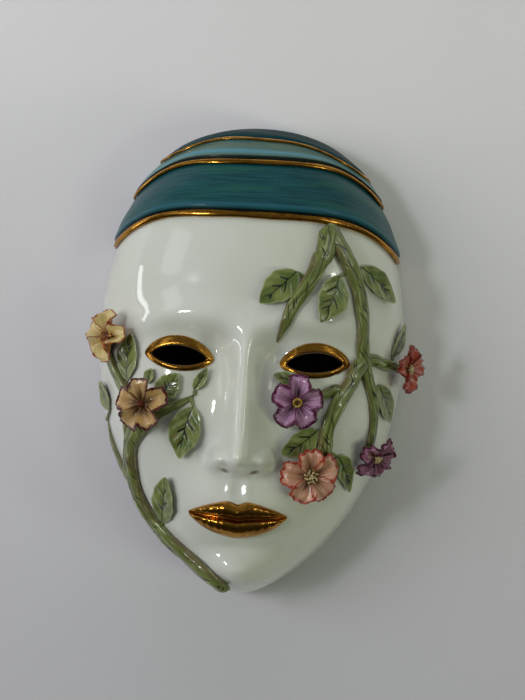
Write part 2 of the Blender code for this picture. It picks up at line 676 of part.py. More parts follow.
# ---------------------------------------------------------------- the mask

def build():
    clear_scene()
    materials = make_materials()
    root = bpy.data.objects.new("mask", None)
    bpy.context.collection.objects.link(root)
    face_shell(materials["white_glaze"], root)
    eye_rim("left_eye_rim", -1, materials["gilding"], root)
    eye_rim("right_eye_rim", 1, materials["gilding"], root)
    gilded_lips(materials["gilding"], root)
    headwrap(materials, root)
    for name, (places, thick, thin) in STEMS.items():
        stem(name, places, thick, thin, materials["stem_green"], root)
    for name, (base, tip, width, lift) in LEAVES.items():
        leaf(name, base, tip, width, lift, materials["leaf_green"], root)
    for name, (place, facing, radius, throat, colour, turn) in FLOWERS.items():
        flower(name, place, facing, radius, throat, materials[colour], materials["flower_centre"], turn, root)
    hanger_lug("left_hanger_lug", -1, materials["white_glaze"], root)
    hanger_lug("right_hanger_lug", 1, materials["white_glaze"], root)
    hanger_wire(materials["hanger_brass"], root)


build()
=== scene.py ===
"""The looks of the porcelain masquerade mask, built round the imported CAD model.

The face, the headwrap, the gilding, the stems, the leaves and the flowers are remade as fine glazed meshes at
the places that the CAD pieces give. Lengths are in millimetres until a mesh is made; MM turns them into
metres. +X is the viewer's right, +Z is up and the face looks towards -Y. The back rim lies in y = 0.
"""

import heapq
import json
import math
from collections import namedtuple

import bpy
import numpy as np
from mathutils import Matrix, Vector


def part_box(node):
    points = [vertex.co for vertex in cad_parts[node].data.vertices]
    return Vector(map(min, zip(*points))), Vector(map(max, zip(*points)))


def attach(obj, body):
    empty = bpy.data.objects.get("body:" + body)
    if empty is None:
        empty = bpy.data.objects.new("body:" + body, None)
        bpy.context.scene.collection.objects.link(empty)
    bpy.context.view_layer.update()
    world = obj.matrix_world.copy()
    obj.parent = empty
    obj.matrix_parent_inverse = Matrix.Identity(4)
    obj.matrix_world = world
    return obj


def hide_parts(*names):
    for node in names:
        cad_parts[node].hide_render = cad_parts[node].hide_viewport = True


MM = 0.001
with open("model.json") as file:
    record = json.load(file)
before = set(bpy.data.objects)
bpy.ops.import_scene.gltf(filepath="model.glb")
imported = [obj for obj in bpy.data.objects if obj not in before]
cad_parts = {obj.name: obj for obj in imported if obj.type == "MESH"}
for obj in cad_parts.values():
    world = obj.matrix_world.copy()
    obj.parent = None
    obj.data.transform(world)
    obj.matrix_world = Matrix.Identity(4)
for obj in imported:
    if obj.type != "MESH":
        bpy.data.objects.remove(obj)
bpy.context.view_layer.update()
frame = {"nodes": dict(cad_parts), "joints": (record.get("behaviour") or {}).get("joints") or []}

# ---------------------------------------------------------------- the head as a form

# An egg is the smooth form of the head: half its width, its depth in front of the rim, and its two ends.
Egg = namedtuple("Egg", "half_width front chin top")
WALL_THICK = 4.0
CHIN_THICK = 6.0
INNER_HILLS = 0.6
FRONT_SHARE = 0.8
WIDEST_SHARE = 121.0 / 223.0
SECTION_POWER = 2.3

EYE_X = 31.0
EYE_Z = 112.0
EYE_HALF_LENGTH = 13.5
EYE_UPPER = 5.6
EYE_LOWER = 4.6
EYE_TILT = 0.05
MOUTH_Z = 41.0
MOUTH_HALF = 23.0

BAND_LOWER_THICK = 2.8
BAND_MIDDLE_THICK = 4.8
BAND_CROWN_THICK = 5.8
BAND_OFF = 0.2
BAND_SUNK = 0.3
ROUNDED_SHARE = 0.07
GILT_DROP = 1.65


def head_egg():
    """The outer egg, from the box of the CAD shell."""
    low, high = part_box("face_shell")
    half_width = 0.5 * (high.x - low.x) / MM
    return Egg(half_width, FRONT_SHARE * half_width, low.z / MM, high.z / MM)


OUTER = head_egg()
INNER = Egg(OUTER.half_width - WALL_THICK, OUTER.front - WALL_THICK, OUTER.chin + CHIN_THICK,
            OUTER.top - WALL_THICK)
WIDEST_Z = OUTER.chin + WIDEST_SHARE * (OUTER.top - OUTER.chin)


def smooth(t):
    """A soft step from 0 to 1."""
    t = np.clip(t, 0.0, 1.0)
    return t * t * (3.0 - 2.0 * t)


def grown(egg, by):
    return Egg(egg.half_width + by, egg.front + by, egg.chin - by, egg.top + by)


def level_of(egg, z):
    """How far z is below and above the widest level, each as a share from 0 to 1."""
    below = np.clip((WIDEST_Z - z) / (WIDEST_Z - egg.chin), 0.0, 1.0)
    above = np.clip((z - WIDEST_Z) / (egg.top - WIDEST_Z), 0.0, 1.0)
    return below, above


def width_at(egg, z):
    below, above = level_of(egg, z)
    jaw = (1.0 - below**2) ** 0.64
    dome = (1.0 - above**2.2) ** 0.45
    return egg.half_width * np.where(below > 0.0, jaw, dome)


def depth_at(egg, z):
    below, above = level_of(egg, z)
    jaw = (1.0 - below**4) ** 0.5
    dome = (1.0 - above**2.6) ** (1.0 / 2.2)
    return egg.front * np.where(below > 0.0, jaw, dome)


def hill(x, z, at_x, at_z, wide, tall):
    return np.exp(-(((x - at_x) / wide) ** 2) - ((z - at_z) / tall) ** 2)


def brow_relief(a, z):
    ridge_z = 130.5 - 5.0 * ((a - 26.0) / 26.0) ** 2
    ridge = 3.0 * np.exp(-(((z - ridge_z) / 7.5) ** 2)) * np.exp(-(((a - 27.0) / 24.0) ** 4))
    return ridge + 1.5 * hill(a, z, 0.0, 158.0, 30.0, 20.0) - 2.0 * hill(a, z, 60.0, 134.0, 13.0, 18.0)


def eye_relief(a, z):
    socket = -8.5 * hill(a, z, 29.0, 113.0, 19.0, 12.0) - 4.0 * hill(a, z, 14.5, 116.0, 6.5, 10.0)
    ball = (((a - EYE_X) / 15.5) ** 2 + ((z - 111.0) / 9.5) ** 2) ** 1.4
    return socket + 6.0 * np.exp(-ball)


def nose_relief(a, z):
    run = np.clip((124.0 - z) / 53.0, 0.0, 1.0)
    rise = smooth((139.0 - z) / 26.0)
    fall = smooth((z - 57.5) / 11.0)
    ridge = (5.0 + 8.0 * run**1.1) * rise * fall * np.exp(-((a / (5.8 + 2.2 * run**2)) ** 2))
    tip = 4.6 * hill(a, z, 0.0, 69.0, 7.4, 7.0)
    wing = 8.0 * hill(a, z, 10.4, 67.5, 4.0, 4.6)
    flank = 3.0 * hill(a, z, 0.0, 82.0, 14.0, 20.0) * fall
    return ridge + (tip + wing) * smooth((z - 58.5) / 6.0) + flank - 1.4 * hill(a, z, 17.0, 70.0, 3.0, 6.5)


def lower_relief(a, z):
    muzzle = 6.0 * hill(a, z, 0.0, 43.0, 25.0, 17.0)
    chin = 11.0 * hill(a, z, 0.0, 12.5, 16.0, 10.5) - 3.2 * hill(a, z, 0.0, 26.0, 16.0, 5.5)
    cheek = 4.5 * hill(a, z, 43.0, 86.0, 19.0, 19.0) - 1.8 * hill(a, z, 37.0, 50.0, 11.0, 17.0)
    return muzzle + chin + cheek


def relief(egg, x, z):
    """How far the face stands in front of the plain egg, fading out towards the rim."""
    a = np.abs(x)
    share = a / np.maximum(width_at(egg, z), 1e-6)
    height = brow_relief(a, z) + eye_relief(a, z) + nose_relief(a, z) + lower_relief(a, z)
    return height * smooth((1.0 - share) / 0.22)


def fine_relief(x, z):
    """The small modelling that the CAD shell leaves out: the groove over the lip, the nostrils and the
    creases over their wings."""
    a = np.abs(x)
    groove = -0.8 * hill(x, z, 0.0, 54.0, 2.4, 4.5) + 0.45 * hill(a, z, 4.2, 54.0, 1.6, 4.5)
    around = np.hypot(a - 10.4, (z - 67.5) / 1.15)
    crease = -0.7 * np.exp(-(((around - 5.4) / 1.1) ** 2)) * smooth((z - 66.0) / 4.0)
    return groove + crease - 2.2 * nostril(x, z)


def nostril(x, z):
    a = np.abs(x)
    return hill(a, z - 0.30 * (a - 6.5), 6.6, 62.3, 2.5, 1.1)


def joined(x, y, z):
    """Points from their coordinates, each an array or a single number."""
    return np.stack(np.broadcast_arrays(x, y, z), axis=-1)


def skin(egg, share, z, hills=1.0):
    """The point of the face at a share round from the middle and a height, in front of the given egg. Hollows
    are followed fully, and hills by the given part."""
    side = np.sin(0.5 * math.pi * share)
    x = width_at(egg, z) * side
    bulge = np.clip(1.0 - np.abs(side) ** SECTION_POWER, 0.0, 1.0) ** (1.0 / SECTION_POWER)
    bump = relief(egg, x, z)
    return joined(x, -depth_at(egg, z) * bulge - np.where(bump > 0.0, hills * bump, bump), z)


def skin_y(x, z):
    """The y of the outer face in front of a place given by x and z."""
    side = np.clip(np.abs(x) / width_at(OUTER, z), 0.0, 1.0)
    bulge = (1.0 - side**SECTION_POWER) ** (1.0 / SECTION_POWER)
    return -depth_at(OUTER, z) * bulge - relief(OUTER, x, z)


def share_of(points):
    """The (share, height) of points on the face."""
    side = np.clip(points[..., 0] / width_at(OUTER, points[..., 2]), -1.0, 1.0)
    return np.stack([np.arcsin(side) / (0.5 * math.pi), points[..., 2]], axis=-1)


def level_z(egg, level):
    """The height of a level, which is 0 at the widest place and 1 at the top of the egg."""
    return WIDEST_Z + level * (egg.top - WIDEST_Z)


def form_value(points):
    """Zero on the outer face, above zero in front of it."""
    x, y, z = points[..., 0], points[..., 1], points[..., 2]
    across = np.abs(x) / np.maximum(width_at(OUTER, z), 1e-6)
    deep = np.maximum(-(y + relief(OUTER, x, z)), 0.0) / np.maximum(depth_at(OUTER, z), 1e-6)
    return (across**SECTION_POWER + deep**SECTION_POWER) ** (1.0 / SECTION_POWER) - 1.0


def height_and_normal(points):
    """How far points stand off the outer face, and its outward directions there."""
    step = 0.05
    slope = np.stack(
        [form_value(points + step * axis) - form_value(points - step * axis) for axis in np.eye(3)], axis=-1
    ) / (2.0 * step)
    steepness = np.maximum(np.linalg.norm(slope, axis=-1), 1e-9)
    return form_value(points) / steepness, slope / steepness[..., None]


def drape(points, height):
    """Moves points along the face's normals until they stand at the given height over it."""
    points = np.array(points, float)
    for _ in range(6):
        now, normal = height_and_normal(points)
        points += normal * (height - now)[..., None]
    return points


def unit(vectors):
    return vectors / np.maximum(np.linalg.norm(vectors, axis=-1, keepdims=True), 1e-9)


def heading(line):
    """The direction in which a line runs at each of its points."""
    return unit(np.gradient(line, axis=0))


def once_round(count):
    return 2.0 * math.pi * np.arange(count) / count


def round_ring(count):
    """Angles from half a turn back to half a turn on, shaped to go with the points of a line."""
    return np.linspace(-math.pi, math.pi, count, endpoint=False)[None, :, None]


# ---------------------------------------------------------------- reading the CAD pieces

def node_mesh(name):
    """A CAD node's welded points in millimetres and its triangles."""
    mesh = frame["nodes"][name].data
    mesh.calc_loop_triangles()
    points = np.empty(3 * len(mesh.vertices))
    mesh.vertices.foreach_get("co", points)
    triangles = np.empty(3 * len(mesh.loop_triangles), int)
    mesh.loop_triangles.foreach_get("vertices", triangles)
    rounded, index = np.unique(np.round(points.reshape(-1, 3) / MM, 3), axis=0, return_inverse=True)
    return rounded, index.reshape(-1)[triangles].reshape(-1, 3)


def graph_distance(points, triangles, start):
    """How far each point is from the start along the edges."""
    neighbours = [set() for _ in points]
    for a, b, c in triangles:
        neighbours[a] |= {b, c}
        neighbours[b] |= {a, c}
        neighbours[c] |= {a, b}
    distance = np.full(len(points), np.inf)
    distance[start] = 0.0
    queue = [(0.0, start)]
    while queue:
        here, i = heapq.heappop(queue)
        if here > distance[i]:
            continue
        for j in neighbours[i]:
            there = here + float(np.linalg.norm(points[i] - points[j]))
            if there < distance[j]:
                distance[j] = there
                heapq.heappush(queue, (there, j))
    return distance


def spread_samples(points, triangles, values):
    """Places evenly inside each triangle, with their areas and a value carried over from its corners."""
    weights = np.array([(i, j, 6 - i - j) for i in range(7) for j in range(7 - i)], float) / 6.0
    corners = points[triangles]
    normal = np.cross(corners[:, 1] - corners[:, 0], corners[:, 2] - corners[:, 0])
    area = 0.5 * np.linalg.norm(normal, axis=1)
    places = np.einsum("kc,tcd->tkd", weights, corners).reshape(-1, 3)
    carried = np.einsum("kc,tc->tk", weights, values[triangles]).reshape(-1)
    return places, np.repeat(area, len(weights)), carried


def along_line(line, places):
    """Arc length along a polyline of the spot nearest to each place, running on past both ends."""
    steps = line[1:] - line[:-1]
    lengths = np.linalg.norm(steps, axis=1)
    starts = np.concatenate([[0.0], np.cumsum(lengths)[:-1]])
    best = np.full(len(places), np.inf)
    found = np.zeros(len(places))
    for i, (a, step, length, start) in enumerate(zip(line, steps, lengths, starts)):
        t = (places - a) @ step / length**2
        low = -np.inf if i == 0 else 0.0
        high = np.inf if i == len(steps) - 1 else 1.0
        t = np.clip(t, low, high)
        gap = np.linalg.norm(places - a - t[:, None] * step, axis=1)
        nearer = gap < best
        best = np.where(nearer, gap, best)
        found = np.where(nearer, start + t * length, found)
    return found, best


def local_line(places, weights, values, stations, reach):
    """At each station, the weighted straight-line fit of the places against their values."""
    line = []
    for station in stations:
        offset = values - station
        w = weights * np.exp(-((offset / reach) ** 2))
        total = w.sum()
        mean_offset = (w * offset).sum() / total
        mean_place = (w[:, None] * places).sum(axis=0) / total
        spread = (w * (offset - mean_offset) ** 2).sum()
        slope = (w[:, None] * (offset - mean_offset)[:, None] * (places - mean_place)).sum(axis=0) / spread
        line.append(mean_place - slope * mean_offset)
    return np.array(line)


# How far a six-sided tube's faces lie from its middle on average, as a share of its radius.
SIX_SIDED = 0.92


def centreline(name):
    """The middle line of a tube-shaped CAD node and its radius at both ends."""
    points, triangles = node_mesh(name)
    start = int(np.argmax(np.linalg.norm(points - points.mean(axis=0), axis=1)))
    distance = graph_distance(points, triangles, start)
    places, weights, values = spread_samples(points, triangles, distance)
    for _ in range(3):
        stations = np.arange(values.min(), values.max() + 1.0, 2.0)
        line = local_line(places, weights, values, stations, 3.0)
        values, gap = along_line(line, places)
    inside = (values > values.min() + 2.0) & (values < values.max() - 2.0)
    rate, first = np.polyfit(values[inside], gap[inside], 1)
    start_radius, end_radius = (first + rate * np.array([values.min(), values.max()])) / SIX_SIDED
    return line, (start_radius, end_radius)


def resample(line, spacing):
    """The same line with its points evenly spaced."""
    length = np.concatenate([[0.0], np.cumsum(np.linalg.norm(np.diff(line, axis=0), axis=1))])
    count = max(4, round(length[-1] / spacing))
    at = np.linspace(0.0, length[-1], count + 1)
    return np.stack([np.interp(at, length, line[:, k]) for k in range(3)], axis=1)


def soften(line, rounds):
    """Evens out a line's corners and keeps its two ends."""
    line = line.copy()
    for _ in range(rounds):
        line[1:-1] = 0.25 * line[:-2] + 0.5 * line[1:-1] + 0.25 * line[2:]
    return line


# ---------------------------------------------------------------- mesh making

def grid_quads(rows, columns, start=0, flip=False):
    """Quads of a grid whose points are stored row by row."""
    corner = start + np.arange(rows - 1)[:, None] * columns + np.arange(columns - 1)
    quads = np.stack([corner, corner + 1, corner + columns + 1, corner + columns], axis=-1).reshape(-1, 4)
    return quads[:, ::-1] if flip else quads


def border(rows, columns):
    """The outline of such a grid, once round."""
    top = np.arange(columns)
    right = np.arange(1, rows) * columns + columns - 1
    bottom = (rows - 1) * columns + np.arange(columns - 2, -1, -1)
    left = np.arange(rows - 2, 0, -1) * columns
    return np.concatenate([top, right, bottom, left])


NO_TRIANGLES = np.zeros((0, 3), int)


def signed_volume(points, quads):
    a, b, c, d = (points[quads[:, k]] for k in range(4))
    first = np.einsum("ij,ij->i", a, np.cross(b, c)).sum()
    return first + np.einsum("ij,ij->i", a, np.cross(c, d)).sum()


def quad_mesh(name, points, quads, material, values, triangles=NO_TRIANGLES, body="mask"):
    """A closed piece from points in millimetres, turned so that its faces look outwards."""
    if signed_volume(points - points.mean(axis=0), quads) < 0.0:
        quads = quads[:, ::-1]
        triangles = triangles[:, ::-1]
    corners = np.concatenate([quads.ravel(), triangles.ravel()])
    starts = np.concatenate([np.arange(len(quads)) * 4, 4 * len(quads) + np.arange(len(triangles)) * 3])
    mesh = bpy.data.meshes.new(name)
    mesh.vertices.add(len(points))
    mesh.vertices.foreach_set("co", (points * MM).astype(np.float32).ravel())
    mesh.loops.add(len(corners))
    mesh.loops.foreach_set("vertex_index", corners.astype(np.int32))
    mesh.polygons.add(len(starts))
    mesh.polygons.foreach_set("loop_start", starts.astype(np.int32))
    mesh.update(calc_edges=True)
    for key, numbers in values.items():
        layer = mesh.attributes.new(key, "FLOAT", "POINT")
        layer.data.foreach_set("value", np.asarray(numbers, np.float32).ravel())
    mesh.materials.append(material)
    mesh.shade_smooth()
    obj = bpy.data.objects.new(name, mesh)
    bpy.context.scene.collection.objects.link(obj)
    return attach(obj, body)


def slab(name, front, back, material, values=None):
    """A solid between two grids of the same size, closed all round its edge."""
    rows, columns = front.shape[:2]
    size = rows * columns
    ring = border(rows, columns)
    after = np.roll(ring, -1)
    rim = np.stack([ring, ring + size, after + size, after], axis=-1)
    quads = np.concatenate([grid_quads(rows, columns), grid_quads(rows, columns, size, flip=True), rim])
    points = np.concatenate([front.reshape(-1, 3), back.reshape(-1, 3)])
    spread = {key: np.broadcast_to(v, (rows, columns)) for key, v in (values or {}).items()}
    doubled = {key: np.tile(v.ravel(), 2) for key, v in spread.items()}
    doubled["under"] = np.repeat([0.0, 1.0], size)
    return quad_mesh(name, points, quads, material, doubled)


def grid_normals(grid):
    rows = np.gradient(grid, axis=0)
    columns = np.gradient(grid, axis=1)
    return unit(np.cross(rows, columns))


def ring_quads(count, size, closed):
    here = np.arange(count if closed else count - 1)[:, None]
    j = np.arange(size)[None]
    after = (here + 1) % count
    turn = (j + 1) % size
    quads = np.stack([here * size + j, here * size + turn, after * size + turn, after * size + j], axis=-1)
    return quads.reshape(-1, 4)


def closed_ring(name, rings, material, values):
    """Sections of equal size round a loop."""
    count, size = rings.shape[:2]
    return quad_mesh(name, rings.reshape(-1, 3), ring_quads(count, size, True), material, values)


def capped_rings(rings, values):
    """Points, quads, end triangles and values of a tube whose ends are closed by a fan."""
    count, size = rings.shape[:2]
    points = np.concatenate([rings.reshape(-1, 3), rings[[0, -1]].mean(axis=1)])
    j = np.arange(size)
    turn = (j + 1) % size
    first = np.stack([turn, j, np.full(size, count * size)], axis=-1)
    last = (count - 1) * size + np.stack([j, turn, np.full(size, size + 1)], axis=-1)
    spread = {key: np.broadcast_to(v, (count, size)) for key, v in (values or {}).items()}
    ended = {key: np.concatenate([v.ravel(), v[[0, -1]].mean(axis=1)]) for key, v in spread.items()}
    return points, ring_quads(count, size, False), np.concatenate([first, last]), ended


def tube(name, rings, material, values=None, body="mask"):
    """Sections of equal size along a line."""
    points, quads, triangles, ended = capped_rings(rings, values)
    return quad_mesh(name, points, quads, material, ended, triangles, body)


def replace(obj, node):
    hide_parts(node)
    return obj


# ---------------------------------------------------------------- materials

def tone(red, green, blue):
    """A colour given in 0 to 255 steps, as linear light."""
    steps = np.array([red, green, blue]) / 255.0
    linear = np.where(steps <= 0.04045, steps / 12.92, ((steps + 0.055) / 1.055) ** 2.4)
    return (*linear, 1.0)


def feed(tree, socket, value):
    """Sets a node's input to a value, or joins it to another node's output."""
    if isinstance(value, Flow):
        tree.links.new(value.socket, socket)
    else:
        socket.default_value = value


class Flow:
    """A node's output, which can be reckoned with like a number."""

    def __init__(self, tree, socket):
        self.tree = tree
        self.socket = socket

    def math(self, operation, first, second=0.0):
        node = self.tree.nodes.new("ShaderNodeMath")
        node.operation = operation
        feed(self.tree, node.inputs[0], first)
        feed(self.tree, node.inputs[1], second)
        return Flow(self.tree, node.outputs["Value"])

    def __add__(self, other):
        return self.math("ADD", self, other)

    def __sub__(self, other):
        return self.math("SUBTRACT", self, other)

    def __rsub__(self, other):
        return self.math("SUBTRACT", other, self)

    def __mul__(self, other):
        return self.math("MULTIPLY", self, other)

    def __truediv__(self, other):
        return self.math("DIVIDE", self, other)

    def __abs__(self):
        return self.math("ABSOLUTE", self)

    def larger(self, other):
        return self.math("MAXIMUM", self, other)

    def below(self, other):
        return self.math("LESS_THAN", self, other)


class Nodes:
    """The node tree of a material or a world, made one call at a time."""

    def __init__(self, owner):
        owner.use_nodes = True
        self.tree = owner.node_tree

    def node(self, kind, output, inputs=None, **settings):
        """A new node's output, with its inputs given by name or number."""
        made = self.tree.nodes.new(kind)
        for key, value in settings.items():
            setattr(made, key, value)
        for key, value in (inputs or {}).items():
            feed(self.tree, made.inputs[key], value)
        return Flow(self.tree, made.outputs[output])

    def part(self, vector, axis):
        return self.node("ShaderNodeSeparateXYZ", axis, {"Vector": vector})

    def span(self, value, low, high, out_low=0.0, out_high=1.0, kind="SMOOTHSTEP"):
        """A step of a value from low to high, soft unless told otherwise."""
        inputs = {"Value": value, "From Min": low, "From Max": high, "To Min": out_low, "To Max": out_high}
        return self.node("ShaderNodeMapRange", "Result", inputs, interpolation_type=kind)


class Finish(Nodes):
    """A surface: its base colour, the paints laid over it one by one, and how it shines."""

    def __init__(self, name):
        self.material = bpy.data.materials.new(name)
        super().__init__(self.material)
        self.shader = self.tree.nodes["Principled BSDF"]

    def value(self, name):
        return self.node("ShaderNodeAttribute", "Fac", attribute_name=name)

    def place(self):
        """Object coordinates in millimetres."""
        source = self.node("ShaderNodeTexCoord", "Object")
        return self.node("ShaderNodeVectorMath", "Vector", {0: source, 3: 1.0 / MM}, operation="SCALE")

    def stretched(self, where, by):
        return self.node("ShaderNodeVectorMath", "Vector", {0: where, 1: by}, operation="MULTIPLY")

    def vector(self, x, y, z):
        return self.node("ShaderNodeCombineXYZ", "Vector", {"X": x, "Y": y, "Z": z})

    def noise(self, where, scale, detail=3.0, rough=0.5, twist=0.0):
        inputs = {"Vector": where, "Scale": scale, "Detail": detail, "Roughness": rough, "Distortion": twist}
        return self.node("ShaderNodeTexNoise", "Fac", inputs)

    def mix(self, share, a, b):
        return self.node("ShaderNodeMix", "Result", {"Factor": share, "A": a, "B": b}, data_type="RGBA")

    def base(self, share, a, b):
        self.colour = self.mix(share, a, b)

    def over(self, share, paint):
        self.colour = self.mix(share, self.colour, paint)

    def bump(self, height, distance, strength=1.0):
        inputs = {"Height": height, "Distance": distance * MM, "Strength": strength}
        return self.node("ShaderNodeBump", "Normal", inputs)

    def done(self, roughness, normal, **others):
        """Sets the shader's inputs; a word's underscores stand for spaces."""
        settings = {"Base_Color": self.colour, "Roughness": roughness, "Normal": normal, **others}
        for key, value in settings.items():
            feed(self.tree, self.shader.inputs[key.replace("_", " ")], value)
        return self.material

    def glazed(self, roughness, normal):
        """Paint under a clear glaze."""
        return self.done(roughness, normal, Coat_Weight=0.8, Coat_Roughness=0.03, Coat_IOR=1.5)


def porcelain_material():
    """White body with a faintly grey-green glaze that pools a little, and brown brushed nostrils."""
    finish = Finish("porcelain_white_glaze")
    where = finish.place()
    inside = finish.value("inside")
    pooled = finish.span(finish.noise(where, 0.02, 2.0), 0.35, 0.7)
    finish.base(pooled, tone(212, 213, 208), tone(206, 208, 197))
    finish.over(finish.span(finish.noise(where, 0.9, 2.0), 0.72, 0.80, 0.0, 0.10), tone(150, 140, 118))
    finish.over(finish.span(finish.value("nostril"), 0.25, 0.85, 0.0, 0.85), tone(96, 70, 40))
    finish.over(inside, tone(150, 147, 138))
    wave = finish.noise(where, 0.05, 1.0) + finish.noise(where, 0.5, 2.0) * 0.03
    return finish.done(inside * 0.5 + 0.13, finish.bump(wave, 0.8, 0.6), Coat_Weight=inside * -0.9 + 0.9,
                       Coat_Roughness=0.012, Specular_IOR_Level=0.25, Subsurface_Weight=0.12,
                       Subsurface_Radius=(0.004, 0.004, 0.003), Subsurface_Scale=1.0)


def bisque_material():
    """Unglazed clay for the hanger lugs, with thumb marks."""
    finish = Finish("bisque_clay")
    where = finish.place()
    finish.base(finish.noise(where, 1.6, 4.0), tone(176, 170, 156), tone(206, 202, 190))
    return finish.done(0.75, finish.bump(finish.noise(where, 0.35, 3.0), 0.6))


def gold_material():
    """Fired gold: amber where it is thick, brown where it is worn, with faint brush lines. On the inner side
    of the lids it is dull and near black: painted shade inside the eye openings."""
    finish = Finish("gilding")
    where = finish.place()
    brushed = finish.noise(finish.stretched(where, (0.25, 1.0, 1.6)), 0.8)
    worn = finish.noise(where, 0.16, 3.0, 0.6)
    inner = finish.value("inner")
    finish.base(finish.span(brushed, 0.35, 0.75), tone(206, 150, 62), tone(168, 112, 40))
    finish.over(finish.span(worn, 0.48, 0.68, 0.0, 0.6), tone(122, 74, 28))
    # Painted shade: the lids' inner side, down in the eye openings, is painted near black and dull.
    finish.over(inner, tone(30, 18, 7))
    rough = finish.span(worn, 0.35, 0.7, 0.16, 0.30).larger(inner)
    return finish.done(rough, finish.bump(brushed, 0.12, 0.5), Metallic=1.0 - inner,
                       Specular_IOR_Level=(1.0 - inner) * 0.5)


# An enamel's dark and light strokes, its patches, the line and the pale strip at its foot, and its sheen.
Enamel = namedtuple("Enamel", "deep light patch low_line low_strip sheen")
ENAMELS = {
    "teal_enamel": Enamel(tone(10, 56, 64), tone(28, 84, 92), tone(34, 88, 78), 0.06,
                          tone(38, 92, 108), 0.22),
    "turquoise_enamel": Enamel(tone(62, 90, 82), tone(98, 122, 108), tone(58, 108, 116), 0.19,
                               tone(84, 146, 166), 0.22),
    "crown_enamel": Enamel(tone(4, 40, 46), tone(14, 58, 62), tone(22, 56, 50), 0.04, tone(24, 68, 76), 0.04),
}


def band_material(name):
    """Brushed enamel: long strokes along the band, lighter patches, and a pale strip over a dark line at its
    foot."""
    paint = ENAMELS[name]
    finish = Finish(name)
    around = finish.value("around") * 4.0
    climb = finish.value("climb")
    strokes = finish.noise(finish.vector(around, climb * 26.0, 0.0), 1.0, 4.0, 0.65)
    broad = finish.noise(finish.vector(around * 0.5, climb * 4.0, 3.0), 1.0, 2.0)
    finish.base(finish.span(strokes, 0.30, 0.72), paint.deep, paint.light)
    finish.over(finish.span(broad, 0.46, 0.72, 0.0, 0.75), paint.patch)
    line = paint.low_line
    finish.over(finish.span(abs(climb - 1.35 * line), 0.0, line, 0.8, 0.0), paint.low_strip)
    finish.over(finish.span(climb, 0.22 * line, 0.45 * line, 0.92, 0.0), tone(12, 18, 20))
    return finish.done(0.42, finish.bump(strokes, 0.22, 0.5), Coat_Weight=paint.sheen, Coat_Roughness=0.10,
                       Coat_IOR=1.45, Specular_IOR_Level=paint.sheen)


def stem_material():
    """Green on one side and brown on the other, with pale streaks of painted highlight, painted shade in
    the creases and dark slanting brush strokes.
    """
    finish = Finish("stem_paint")
    around = finish.value("around")
    along = finish.value("along")
    wander = finish.noise(finish.place(), 0.10, 2.0)
    side = finish.span(around + (wander * 1.6 - 0.8), 0.05, 0.70)
    finish.base(side, tone(110, 122, 62), tone(108, 92, 60))
    streaks = finish.noise(finish.vector(along * 0.12, around * 9.0, 1.0), 1.0, 3.0, 0.6)
    finish.over(finish.span(streaks, 0.42, 0.72, 0.0, 0.8), tone(72, 82, 38))
    # Painted highlight: pale streaks along the stem.
    finish.over(finish.span(streaks, 0.46, 0.32, 0.0, 0.8), tone(164, 168, 124))
    # Painted shade: the creases between the strands are painted darker.
    finish.over(finish.span(finish.value("crease"), 0.35, 0.95, 0.0, 0.8), tone(52, 54, 24))
    slant = along * 0.50 + around * 8.5
    stroke = finish.noise(finish.vector(slant, along * 0.10 - around * 0.4, 7.0), 1.0, 0.0)
    finish.over(finish.span(stroke, 0.66, 0.71, 0.0, 0.9), tone(24, 24, 12))
    return finish.glazed(0.30, finish.bump(streaks, 0.45, 0.6))


def leaf_material():
    """Olive green with yellower patches, a pale margin, partly thin glaze and partly painted highlight,
    painted shade along the midrib and black-green painted veins; browner underneath.
    """
    finish = Finish("leaf_paint")
    where = finish.place()
    across = finish.value("across")
    finish.base(finish.span(finish.noise(where, 0.16), 0.35, 0.65), tone(84, 100, 44), tone(124, 134, 74))
    rust = finish.noise(where, 0.23, 2.0, twist=0.5)
    finish.over(finish.span(rust, 0.56, 0.74, 0.0, 0.65), tone(134, 114, 66))
    brush = finish.noise(finish.vector(finish.value("along") * 3.0, across * 9.0, 0.0), 1.0)
    finish.over(finish.span(brush, 0.35, 0.25, 0.0, 0.55), tone(160, 172, 116))
    # Partly painted highlight: the pale margin, where the glaze also runs thin.
    finish.over(finish.span(finish.value("margin"), 1.1, 0.0, 0.0, 0.65), tone(166, 174, 132))
    # Painted shade: darker along the midrib, down in the leaf's fold.
    finish.over(finish.span(abs(across), 0.45, 0.0, 0.0, 0.35), tone(72, 88, 40))
    finish.over(finish.span(finish.value("vein"), 0.3, 0.8, 0.0, 0.97), tone(16, 24, 10))
    finish.over(finish.value("under") * 0.6, tone(104, 96, 60))
    return finish.glazed(0.32, finish.bump(brush, 0.32, 0.5))


# A petal's colours: its throat, partly painted shade, its face, its pale streaks of painted highlight, its
# edge and its back, and how wide the edge is.
PetalPaint = namedtuple("PetalPaint", "throat face streak edge back edge_width")
PETAL_PAINTS = {
    "yellow_flower": PetalPaint(tone(150, 104, 46), tone(206, 184, 124), tone(238, 226, 182),
                                tone(148, 76, 34), tone(190, 122, 56), 0.65),
    "amber_flower": PetalPaint(tone(82, 50, 14), tone(190, 154, 102), tone(232, 212, 172),
                               tone(74, 6, 10), tone(116, 68, 40), 1.35),
    "mauve_flower": PetalPaint(tone(96, 48, 78), tone(168, 122, 158), tone(230, 206, 226),
                               tone(74, 0, 48), tone(92, 40, 70), 1.9),
    "coral_flower": PetalPaint(tone(118, 76, 50), tone(194, 142, 116), tone(236, 206, 190),
                               tone(150, 40, 12), tone(168, 72, 42), 1.5),
    "purple_flower": PetalPaint(tone(112, 70, 60), tone(142, 88, 116), tone(214, 174, 198),
                                tone(66, 2, 36), tone(86, 44, 62), 1.3),
    "red_flower": PetalPaint(tone(140, 84, 46), tone(166, 66, 42), tone(204, 116, 90),
                             tone(104, 24, 16), tone(146, 50, 32), 1.4),
}


